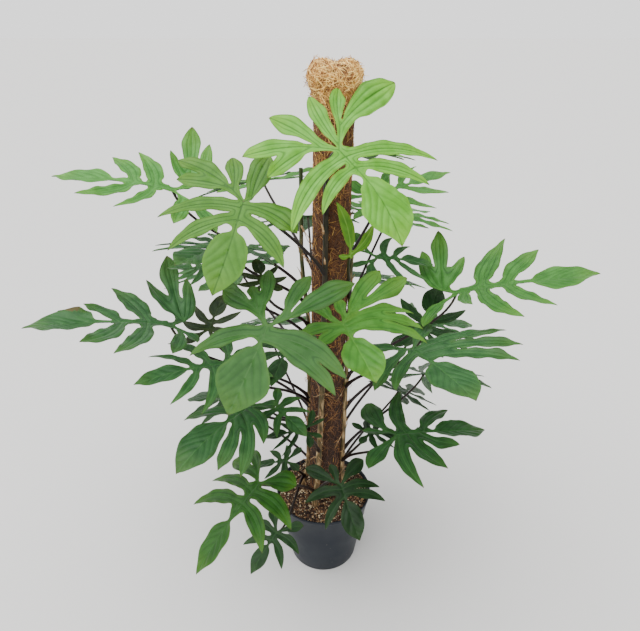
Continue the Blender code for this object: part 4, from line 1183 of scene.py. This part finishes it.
def rib(lobe, t):
    t = np.asarray(t, float)[..., None]
    return lobe["start"] * (1 - t) ** 2 + lobe["bend"] * (2 * t * (1 - t)) + lobe["tip"] * t * t


def lobes_of(plan):
    """The blade's lobes in metres, from its left rear round the end lobe to its right rear."""
    if isinstance(plan, tuple):
        pattern, size = plan
        plan = [(angle, *(share * size for share in rest)) for angle, *rest in PATTERNS[pattern]]
    lobes = []
    for angle, reach, width, root, lift in sorted(plan):
        rear = math.copysign(REAR_RIB, angle)
        start = flat(0, root * CM) if root >= 0 else flat(rear, -root * CM)
        tip = flat(angle, reach * CM)
        run = tip - start
        back = np.array([run[1], -run[0]]) * (1 if run[0] > 0 else -1)
        is_end = abs(angle) < END_LOBE
        bend = (start + tip) / 2 + back * (SICKLE if root >= 0 else REAR_SICKLE)
        if is_end:
            bend = flat(0, (root + reach) * CM / 2)
        lobe = {"start": start, "bend": bend, "tip": tip, "half": width * CM / 2,
                "lift": lift * CM, "end": is_end, "rear": root < 0, "wide": width > WIDE_LOBE,
                "angle": angle}
        lobe["line"] = np.vstack([[(0, 0)], rib(lobe, np.linspace(0, 1, RIB_STEPS + 1))])
        lobe["root"] = np.linalg.norm(start)
        lobe["length"] = np.linalg.norm(np.diff(lobe["line"][1:], axis=0), axis=1).sum()
        lobes.append(lobe)
    return lobes


def web_share(one, other):
    """How far out two lobes share a web, as a share of their ribs: none at the joint or the waist."""
    if one["end"] or other["end"] or one["rear"] != other["rear"] or one["angle"] * other["angle"] < 0:
        return 0.0
    if one["rear"]:
        return float(np.interp(abs(one["angle"] - other["angle"]), TEETH_APART, TEETH_SHARE))
    apart = np.linalg.norm(one["start"] - other["start"]) / (one["half"] + other["half"])
    return float(np.interp(apart, WEB_APART, WEB_SHARE))


def cut_between(one, other, reach):
    """The inner end of the cut between two neighbouring lobes, the second further to the right."""
    if one["end"] or other["end"]:
        end, way = (one, 1) if one["end"] else (other, -1)
        return end["start"] + np.array([way * WAIST * reach, 0])
    if one["rear"] != other["rear"]:
        return flat(math.copysign(NECK_ANGLE, one["angle"]), NECK * reach)
    share = web_share(one, other)
    return (rib(one, share) + rib(other, share)) / 2


def edge_points(lobes, index, side):
    """One edge of a lobe, root to tip, held off its neighbour's rib."""
    lobe, other = lobes[index], lobes[(index + side) % len(lobes)]
    shares = END_EDGE if lobe["end"] else REAR_EDGE if lobe["rear"] else \
        WIDE_EDGE if lobe["wide"] else SIDE_EDGE
    most = END_WIDTH if lobe["end"] else BY_END_WIDTH if other["end"] else MOST_WIDTH
    points = []
    for t, share in shares:
        if t < web_share(lobe, other) + EDGE_START:
            continue
        middle = rib(lobe, t)
        along = rib(lobe, t + EDGE_RUN) - rib(lobe, t - EDGE_RUN)
        across = np.array([along[1], -along[0]]) / np.linalg.norm(along)
        others = rib(other, np.linspace(0, 1, ROOM_STEPS + 1))
        room = np.linalg.norm(middle - others, axis=1).min()
        points.append(middle + across * min(lobe["half"] * share, most * room) * side)
    return points


def smooth_run(points, step):
    """A smooth line through the points from the first up to the last, about a step apart."""
    points = [2 * points[0] - points[1], *points, 2 * points[-1] - points[-2]]
    run = []
    for four in zip(points, points[1:], points[2:], points[3:]):
        knots = np.cumsum([0] + [math.sqrt(np.linalg.norm(b - a)) + LEAST
                                 for a, b in zip(four, four[1:])])
        count = max(1, round(np.linalg.norm(four[2] - four[1]) / step))
        for t in np.linspace(knots[1], knots[2], count, endpoint=False):
            level = four
            for spans in KNOT_SPANS:
                level = [((knots[high] - t) * before + (t - knots[low]) * after)
                         / (knots[high] - knots[low])
                         for (low, high), before, after in zip(spans, level, level[1:])]
            run.append(level[0])
    return run


def blade_outline(lobes, step):
    """The whole edge: pointed at each tip, rounded at each sinus."""
    outline = []
    reach = max(np.linalg.norm(lobe["tip"]) for lobe in lobes if lobe["end"])
    for index, lobe in enumerate(lobes):
        after = lobes[(index + 1) % len(lobes)]
        cut = cut_between(lobe, after, reach) if index + 1 < len(lobes) else \
            flat(180, BACK_NOTCH * reach)
        controls = [lobe["tip"], *reversed(edge_points(lobes, index, 1)), cut,
                    *edge_points(lobes, (index + 1) % len(lobes), -1), after["tip"]]
        outline += smooth_run(controls, step)
    return np.array(outline)


def inside(points, outline):
    """Which points lie within a closed outline."""
    x, y = points[:, 0, None], points[:, 1, None]
    near, far = outline, np.roll(outline, -1, axis=0)
    spans = (near[:, 1] > y) != (far[:, 1] > y)
    rise = np.where(far[:, 1] == near[:, 1], 1.0, far[:, 1] - near[:, 1])
    crosses = x < (far[:, 0] - near[:, 0]) * (y - near[:, 1]) / rise + near[:, 0]
    return (spans & crosses).sum(axis=1) % 2 == 1


def tree_of(points):
    tree = KDTree(len(points))
    for index, point in enumerate(points):
        tree.insert((*point, 0), index)
    tree.balance()
    return tree


def distances(points, tree):
    return np.array([tree.find((*point, 0))[2] for point in points])


def filled(outline, lobes, step):
    """Points and triangles that fill the outline, with rows of points on every rib."""
    points = list(outline)
    edges = [(i, (i + 1) % len(outline)) for i in range(len(outline))]
    for lobe in lobes:
        stem = np.arange(0, lobe["root"], step)[:, None] * lobe["start"] / max(lobe["root"], TINY)
        count = max(2, round(lobe["length"] / step))
        chain = [*stem, *rib(lobe, np.linspace(0, 1, count + 1))]
        edges += [(len(points) + i, len(points) + i + 1) for i in range(len(chain) - 1)]
        points += chain
    low, high = outline.min(axis=0), outline.max(axis=0)
    rows = np.arange(low[1], high[1], step * math.sqrt(3) / 2)
    grid = np.array([(x + step / 2 * (row % 2), y) for row, y in enumerate(rows)
                     for x in np.arange(low[0], high[0], step)])
    grid = grid[inside(grid, outline)]
    grid = grid[distances(grid, tree_of(points)) > FILL_CLEAR * step]
    found = delaunay_2d_cdt([Vector(p) for p in [*points, *grid]], edges,
                            [list(range(len(outline)))], 1, FILL_WELD * step)
    corners = np.array([tuple(v) for v in found[0]])
    faces = [face for face in found[2] if len(set(face)) == 3]
    used = sorted({i for face in faces for i in face})
    order = {old: new for new, old in enumerate(used)}
    return corners[used], [[order[i] for i in face] for face in faces]


def nearest_on(points, line):
    """Distance from each point to a line, how far along it that is, and on which side."""
    run = np.diff(line, axis=0)
    length = np.maximum(np.linalg.norm(run, axis=1), TINY)
    off = points[:, None] - line[:-1]
    share = np.clip((off * run).sum(axis=2) / length ** 2, 0, 1)
    away = np.linalg.norm(off - share[..., None] * run, axis=2)
    best = away.argmin(axis=1)
    row = np.arange(len(points))
    along = np.concatenate([[0], np.cumsum(length)])[best] + (share * length)[row, best]
    turn = run[best, 0] * off[row, best, 1] - run[best, 1] * off[row, best, 0]
    return away[row, best], along, np.sign(turn)


def ease(value, low, high):
    """0 up to low, 1 from high, smooth between."""
    t = np.clip((value - low) / (high - low), 0, 1)
    return t * t * (3 - 2 * t)


def blade_relief(lobes, points, edge, sizes):
    """Rise over the blade's plane and what the material reads: distance from the rib, count of
    grooves, how deep they are and share of the way to the tip."""
    found = [nearest_on(points, lobe["line"]) for lobe in lobes]
    near = np.array([away for away, _, _ in found])
    share = np.array([np.clip((along - lobe["root"]) / lobe["length"], 0, 1)
                      for (_, along, _), lobe in zip(found, lobes)])
    weight = (near + RIB_SOFT) ** -RIB_SHARP
    turn = np.array([LOBE_TURN * math.sin(TURN_STEP * number + len(lobes))
                     for number in range(len(lobes))])[:, None]
    lift = np.array([lobe["lift"] for lobe in lobes])[:, None]
    side = np.array([way for _, _, way in found])
    rise = (weight * (lift * share ** 2 + turn * share * side * near)).sum(axis=0) / weight.sum(axis=0)
    closest = near.argmin(axis=0)
    row = np.arange(len(points))
    low = near[closest, row]
    rise += RIB_LIFT * low / (1 + low / RIB_EASE)
    ends = np.array([lobe["end"] for lobe in lobes])[closest]
    along = np.array([way for _, way, _ in found])[closest, row]
    width = low + edge
    forward = sizes.vein_slope * low + sizes.vein_curve * low ** 2
    forward += VEIN_STRAY * np.sin(along / VEIN_STRAY_STEP)
    vein = np.where(ends, (along - forward) / sizes.vein_step,
                    low / np.maximum(width, LEAST) / sizes.pleat)
    depth = ease(width, *PLEAT_WIDTHS) * np.where(ends, END_DEPTH * ease(edge, 0, VEIN_FADE), 1.0)
    # Pleats are raised only where they are a few points wide; the finer ones are left to the bump
    pitch = np.where(ends, sizes.vein_step, width * sizes.pleat)
    raised = depth * ease(pitch, *(steps * sizes.step for steps in RAISED_STEPS))
    rise -= sizes.pleat_height * raised * np.cos(math.tau * vein)
    rise -= sizes.groove * np.exp(-(low / GROOVE_WIDTH) ** 2)
    wave = np.sin(math.tau * (along / sizes.wave_length + WAVE_SHIFT * closest)) * side[closest, row]
    rise += sizes.wave * (1 - ease(edge, 0, WAVE_FADE)) * wave * ease(low, *WAVE_FROM)
    return rise, low, vein, depth, share[closest, row]


def blade_places(points, rise, base, axes, droop):
    """Places in the blade's plane, bent down along arcs that start at its base."""
    end, side, up = (np.array(axis) for axis in axes)
    reach = np.maximum(np.linalg.norm(points, axis=1), TINY)
    across, ahead = points[:, 0] / reach, points[:, 1] / reach
    bend = np.where(ahead > 0, droop[0] * ahead ** 2 + droop[1] * across ** 2, droop[1])
    out = np.sin(bend * reach) / bend
    drop = (1 - np.cos(bend * reach)) / bend
    level = end * ahead[:, None] + side * across[:, None]
    return np.array(base) + level * out[:, None] + up * (rise - drop)[:, None]


def leaf_material(name, tones, sizes):
    """Waxy philodendron blade: satin cuticle, ribs of a tone of their own, pleats between the veins
    with painted shade in their grooves, dull underside darkened with painted shade."""
    upper, deep, groove_shade_tone, rib_tone, edge_tone, under_tone = (colour(code) for code in tones)
    made, tree, shader = new_material(f"philodendron_blade_{name}")
    place = add(tree, "TexCoord", out="Object")
    read = {key: add(tree, "Attribute", out="Fac", attribute_name=key)
            for key in ("rib", "edge", "vein", "depth", "reach", "tone", "under")}
    # Light and dark cells of the blade, about 25 mm across, and a fine mottle of 3 mm
    cloud = add(tree, "TexNoise", {"Scale": 40.0, "Detail": 3.0}, {"Vector": place})
    mottle = add(tree, "TexNoise", {"Scale": 330.0, "Detail": 2.0}, {"Vector": place})
    soft = add(tree, "MapRange", {1: 0.35, 2: 0.65}, {0: cloud})
    # Grooves lie where the count of grooves is whole, and are painted dark between light ridges, as
    # painted shade
    off = add(tree, "Math", {1: 0.5}, {0: read["vein"]}, operation="PINGPONG")
    line = add(tree, "MapRange", {1: 0.02, 2: 0.26, 3: sizes.groove_shade, 4: 0.0}, {0: off},
               interpolation_type="SMOOTHSTEP")
    groove = add(tree, "Math", links={0: line, 1: read["depth"]}, operation="MULTIPLY")
    # Tips and margins yellow a little
    margin = add(tree, "MapRange", {1: 0.0, 2: 6 * MM, 3: 0.5, 4: 0.0}, {0: read["edge"]})
    outer = add(tree, "MapRange", {1: 0.6, 2: 1.0, 3: 0.0, 4: 0.8}, {0: read["reach"]})
    yellow = add(tree, "Math", links={0: margin, 1: outer}, operation="MAXIMUM")
    mixed = add(tree, "Math", links={0: yellow, 1: mottle}, operation="MULTIPLY")
    # The ribs are drawn about 2 mm wide, coarser than real ones, so that they show
    ribs = add(tree, "MapRange", {1: 0.4 * MM, 2: 1.7 * MM, 3: 0.7, 4: 0.0}, {0: read["rib"]})
    # The last few millimetres of a lobe dry to brown
    dry = add(tree, "MapRange", {1: 0.955, 2: 1.0, 3: 0.0, 4: 0.75}, {0: read["reach"]})
    shade = add(tree, "Mix", {6: deep, 7: upper}, {0: soft}, data_type="RGBA")
    # In turn: painted shade in the grooves, yellow margins, ribs, brown tips, and the underside with
    # its painted shade
    for share, tone in ((groove, groove_shade_tone), (mixed, edge_tone), (ribs, rib_tone),
                        (dry, colour("#4A3418")), (read["under"], under_tone)):
        shade = add(tree, "Mix", {7: tone}, {0: share, 6: shade}, data_type="RGBA")
    # The leaf's tone scales the colour's value, and with it the leaf's painted light and painted shade
    whole = add(tree, "HueSaturation", links={"Value": read["tone"], "Color": shade})
    dull = add(tree, "MapRange", {3: sizes.gloss, 4: 0.62}, {0: read["under"]})
    rough = add(tree, "Math", {1: 0.14}, {0: mottle, 2: dull}, operation="MULTIPLY_ADD")
    height = add(tree, "Math", {1: -2.5}, {0: groove, 2: mottle}, operation="MULTIPLY_ADD")
    bump = add(tree, "Bump", {"Strength": 0.4, "Distance": 0.6 * MM}, {"Height": height})
    feed(tree, shader, {"Specular IOR Level": 0.16},
         {"Base Color": whole, "Roughness": rough, "Normal": bump})
    return made


def leaf_blade(node, sizes):
    """One blade as a closed skin, with its rib raised on the underside."""
    _, place, angles, droop, _, plan = LEAVES[node]
    name = node.replace("leaf", "blade")
    lobes = lobes_of(plan)
    outline = blade_outline(lobes, sizes.step)
    points, faces = filled(outline, lobes, sizes.step)
    edge = nearest_on(points, np.vstack([outline, outline[:1]]))[0]
    rise, low, vein, depth, reach = blade_relief(lobes, points, edge, sizes)
    rise += sizes.thickness / 2
    axes = leaf_axes(angles)
    places = blade_places(points, rise, Vector(place) * CM, axes, droop)
    mesh = bpy.data.meshes.new(name)
    mesh.from_pydata(places.tolist(), [], faces)
    # Each leaf's tone holds painted light and painted shade as well as its own green
    tone = np.full(len(points), LEAF_TONES_AND_PAINTED_LIGHT.get(node, 1.0))
    for key, values in (("rib", low), ("edge", edge), ("vein", vein), ("depth", depth),
                        ("reach", reach), ("tone", tone), ("under", np.zeros(len(points)))):
        paint(mesh, key, values)
    shell = bmesh.new()
    shell.from_mesh(mesh)
    bpy.data.meshes.remove(mesh)
    shell.normal_update()
    shell.faces.ensure_lookup_table()
    if shell.faces[0].normal.dot(axes[2]) < 0:
        bmesh.ops.reverse_faces(shell, faces=shell.faces)
        shell.normal_update()
    under, ribs, tips = (shell.verts.layers.float[key] for key in ("under", "rib", "reach"))
    number = shell.verts.layers.int.new("number")
    normals = []
    for index, vert in enumerate(shell.verts):
        vert[number] = index
        normals.append(vert.normal.copy())
    skin = bmesh.ops.extrude_face_region(shell, geom=shell.faces[:], use_keep_orig=True)
    for vert in skin["geom"]:
        if isinstance(vert, bmesh.types.BMVert):
            ridge = sizes.ridge * math.exp(-(vert[ribs] / RIDGE_WIDTH) ** 2) * (1 - vert[tips])
            vert.co -= normals[vert[number]] * (sizes.thickness + ridge)
            vert[under] = 1.0
    shell.verts.layers.int.remove(number)
    bmesh.ops.recalc_face_normals(shell, faces=shell.faces)
    return from_bmesh(name, shell, smooth=True)


# Blade tones: upper side, its darker cells, painted shade in the grooves, ribs, margins and tips, and
# the underside, its own dull grey-green darkened with painted shade. The groups run from light for the
# crown to dark for low and inner leaves: partly their own green, partly painted light and painted
# shade
TONES = {
    "light": ("#66A43C", "#549228", "#326A1A", "#3A6E22", "#7EAA2A", "#4A7038"),
    "bright": ("#508C34", "#3E7826", "#245414", "#5A9238", "#74982C", "#446C2C"),
    "mid": ("#437A34", "#346826", "#1E4A18", "#4A7C3A", "#66902A", "#3A5C38"),
    "fresh": ("#2B591C", "#204A14", "#14360C", "#34622A", "#567C18", "#2C4A2A"),
    "deep": ("#335C30", "#264C26", "#183A1A", "#3E6A36", "#4A6A22", "#324E38"),
    "dark": ("#1E3E1C", "#163214", "#0E260E", "#2A4C24", "#2E4A14", "#22382A"),
    "olive": ("#26401A", "#1E3412", "#16280C", "#3C5424", "#5A6018", "#2E4226"),
    "young": ("#4E8020", "#406E18", "#2E5A10", "#6E9A3A", "#7E9A24", "#5A7C34"),
}
# How much lighter or darker than its tone a leaf is: partly its own green, partly painted light and
# painted shade for how the light falls where it stands
LEAF_TONES_AND_PAINTED_LIGHT = {
    "leaf_crown": 0.95, "leaf_upper_left": 0.47, "leaf_front": 0.48, "leaf_middle": 0.76,
    "leaf_far_left": 1.2, "leaf_far_right": 0.88, "leaf_low_front": 0.78, "leaf_low_right": 1.7,
    "leaf_over_pot": 0.62, "leaf_by_rim": 0.85, "leaf_left_small": 0.5, "leaf_folded": 0.6,
    "leaf_low_left": 0.9,
}


class PLANT_OT_leaves(bpy.types.Operator):
    """Makes every blade: lobed outline, ribs, pleats and its own finish"""
    bl_idname = "plant.leaves"
    bl_label = "Leaf blades"

    def execute(self, context):
        sizes = context.scene.plant_leaves
        finishes = {shade: leaf_material(shade, tones, sizes) for shade, tones in TONES.items()}
        for node, (_, _, _, _, shade, _) in LEAVES.items():
            finish_piece(leaf_blade(node, sizes), finishes[shade], [node])
        return {"FINISHED"}


# Stage

def floor_material():
    """Matt paper: pale grey, with a tooth of 2 mm, coarser than the real one so that it shows."""
    made, tree, shader = new_material("matt_paper_floor")
    place = add(tree, "TexCoord", out="Object")
    tooth = add(tree, "TexNoise", {"Scale": 500.0}, {"Vector": place})
    tone = add(tree, "Mix", {6: colour("#C9C8C6"), 7: colour("#CDCCCB")}, {0: tooth},
               data_type="RGBA")
    feed(tree, shader, {"Roughness": 1.0, "Specular IOR Level": 0.0}, {"Base Color": tone})
    return made


def studio_air(sizes):
    """Light from all round: as bright as the floor where the two meet, and even above that."""
    world = bpy.data.worlds.new("studio_air")
    world.use_nodes = True
    tree = world.node_tree
    way = add(tree, "TexCoord", out="Generated")
    height = add(tree, "SeparateXYZ", links={0: way}, out="Z")
    level = add(tree, "MapRange", {1: 0.08, 2: 0.35, 3: sizes.horizon, 4: sizes.air}, {0: height})
    feed(tree, tree.nodes["Background"], {"Color": colour("#FFFFFF")}, {"Strength": level})
    return world


class PLANT_OT_stage(bpy.types.Operator):
    """Makes the pale floor, the soft studio light and the camera"""
    bl_idname = "plant.stage"
    bl_label = "Stage"

    def execute(self, context):
        sizes = context.scene.plant_stage
        made = bmesh.new()
        bmesh.ops.create_grid(made, x_segments=1, y_segments=1, size=sizes.floor / 2)
        floor = from_bmesh("studio_floor", made)
        floor.data.materials.append(floor_material())
        context.scene.world = studio_air(sizes)
        lamp = bpy.data.lights.new("soft_daylight", "SUN")
        lamp.energy = sizes.key
        lamp.angle = math.radians(sizes.key_spread)
        towards = (-Vector(sizes.key_place)).to_track_quat("-Z", "Y")
        new_object("soft_daylight", lamp).rotation_euler = towards.to_euler()
        camera = bpy.data.cameras.new("camera")
        camera.sensor_fit = "HORIZONTAL"
        camera.lens = camera.sensor_width * sizes.focal_pixels / sizes.frame_width
        camera.dof.use_dof = False
        eye = new_object("camera", camera)
        eye.location = sizes.eye
        eye.rotation_euler = (math.radians(90 - sizes.eye_tilt), 0, 0)
        context.scene.camera = eye
        return {"FINISHED"}


# Sizes and colours that a user may change

def length_property(name, description, default):
    """A length in metres."""
    return FloatProperty(name=name, description=description, default=default, unit="LENGTH")


def colour_property(name, description, code):
    """A colour, with an sRGB hex value as its default."""
    return FloatVectorProperty(name=name, description=description, subtype="COLOR",
                               default=colour(code)[:3], min=0, max=1)


class PotSizes(bpy.types.PropertyGroup):
    wall: length_property("Wall", "Thickness of the pot's wall", 0.002)
    sides: IntProperty(name="Sides", description="Steps round the pot", default=96, min=24)
    plastic: colour_property("Plastic", "Colour of the pot", "#10161E")
    plastic_worn: colour_property("Worn plastic", "Colour where it is rubbed", "#181F28")


class MixSizes(bpy.types.PropertyGroup):
    chips: IntProperty(name="Chips", description="Bark chips on the mix", default=3200, min=0)
    chip_size: length_property("Chip size", "Length of a bark chip", 0.0055)
    perlite: IntProperty(name="Perlite", description="Perlite grains on the mix", default=520, min=0)
    perlite_size: length_property("Grain size", "Width of a perlite grain", 0.0034)


class PoleSizes(bpy.types.PropertyGroup):
    strands: IntProperty(name="Strands", description="Loose coir strands on each half of the column",
                         default=3600, min=0)
    head_strands: IntProperty(name="Head strands", description="Curled strands on the head",
                              default=1500, min=0)
    strand: length_property("Strand width", "Width of a strand, drawn about three times as thick as "
                            "coir so that it shows", 0.0009)
    head_strand: length_property("Head strand width", "Width of a strand on the head, drawn about "
                                 "four times as thick as coir so that it shows", 0.0013)
    turns: IntProperty(name="Binding turns", description="Turns of fibre under the head",
                       default=11, min=0)


class StemSizes(bpy.types.PropertyGroup):
    stem_step: length_property("Step", "Spacing of the rings of points along a stem", 0.004)
    internode: length_property("Internode", "Spacing of the nodes on a stem", 0.062)
    root_step: length_property("Root step", "Spacing of the points of a free root", 0.0035)
    node_swell: FloatProperty(name="Node swelling", description="Extra radius at a node, as a share",
                              default=0.22, min=0)
    green: colour_property("Green stem", "Colour of a young stem", "#34441A")
    olive: colour_property("Olive stem", "Second colour of a young stem", "#202A12")
    dark: colour_property("Dark petiole", "Colour of the petioles", "#1B100E")


class LeafSizes(bpy.types.PropertyGroup):
    step: length_property("Step", "Spacing of the points of a blade", 0.0032)
    thickness: length_property("Thickness", "Thickness of a blade", 0.0006)
    ridge: length_property("Ridge", "Depth of the rib under the blade", 0.0018)
    groove: length_property("Groove", "Depth of the rib's groove on top", 0.0009)
    pleat: FloatProperty(name="Pleat", description="Width of a pleat, as a share of the way from "
                         "the rib to the margin", default=0.46, min=0.1)
    pleat_height: length_property("Pleat height", "Height of a pleat", 0.0013)
    vein_step: length_property("Vein step", "Spacing of the side veins of an end lobe", 0.023)
    vein_slope: FloatProperty(name="Vein slope", description="How far a side vein runs forward",
                              default=1.25)
    vein_curve: FloatProperty(name="Vein curve", description="How much more it runs forward, a metre",
                              default=10.0)
    wave: length_property("Wave", "Height of the waves in the margin", 0.0016)
    wave_length: length_property("Wave length", "Length of the waves in the margin", 0.045)
    # The dark of a pleat's groove is painted shade
    groove_shade: FloatProperty(name="Groove shade", description="How dark a pleat's groove is",
                                default=0.6, min=0, max=1)
    gloss: FloatProperty(name="Roughness", description="Roughness of the upper side", default=0.36,
                         min=0, max=1)


class StageSizes(bpy.types.PropertyGroup):
    floor: length_property("Floor", "Width of the floor", 600.0)
    air: FloatProperty(name="Air", description="Strength of the even light from above", default=0.55)
    horizon: FloatProperty(name="Horizon", description="Strength of the air where it meets the floor",
                           default=1.6)
    key: FloatProperty(name="Daylight", description="Strength of the large soft lamp", default=7.0)
    key_spread: FloatProperty(name="Daylight spread", description="Width of the soft lamp, in degrees",
                              default=100.0)
    key_place: FloatVectorProperty(name="Daylight side", description="Direction that the light comes "
                                   "from", default=(-0.3, -0.3, 1.0))
    eye: FloatVectorProperty(name="Eye", description="Place of the camera", subtype="TRANSLATION",
                             default=(-0.009, -1.082, 1.252), unit="LENGTH")
    eye_tilt: FloatProperty(name="Eye tilt", description="How far the camera looks down, in degrees",
                            default=26.8)
    focal_pixels: FloatProperty(name="Focal length", description="Focal length in pixels of the "
                                "frame", default=554.0)
    frame_width: FloatProperty(name="Frame width", description="Width of the frame in pixels",
                               default=640.0)


GROUPS = {"plant_pot": PotSizes, "plant_mix": MixSizes, "plant_pole": PoleSizes,
          "plant_stems": StemSizes, "plant_leaves": LeafSizes, "plant_stage": StageSizes}
STEPS = (PLANT_OT_pot, PLANT_OT_mix, PLANT_OT_pole, PLANT_OT_stems, PLANT_OT_roots,
         PLANT_OT_leaves, PLANT_OT_stage)


class PLANT_PT_panel(bpy.types.Panel):
    """Lists the pieces of the plant and their sizes"""
    bl_label = "Potted philodendron"
    bl_idname = "PLANT_PT_panel"
    bl_space_type = "VIEW_3D"
    bl_region_type = "UI"
    bl_category = "Plant"

    def draw(self, context):
        for step in STEPS:
            self.layout.operator(step.bl_idname)
        for key, group in GROUPS.items():
            box = self.layout.box()
            for name in group.__annotations__:
                box.prop(getattr(context.scene, key), name)


def register():
    for group in (*GROUPS.values(), *STEPS, PLANT_PT_panel):
        bpy.utils.register_class(group)
    for key, group in GROUPS.items():
        setattr(bpy.types.Scene, key, PointerProperty(type=group))


def unregister():
    for key in GROUPS:
        delattr(bpy.types.Scene, key)
    for group in reversed((*GROUPS.values(), *STEPS, PLANT_PT_panel)):
        bpy.utils.unregister_class(group)


def main():
    register()
    for step in STEPS:
        area, name = step.bl_idname.split(".")
        getattr(getattr(bpy.ops, area), name)()


if __name__ == "__main__":
    main()
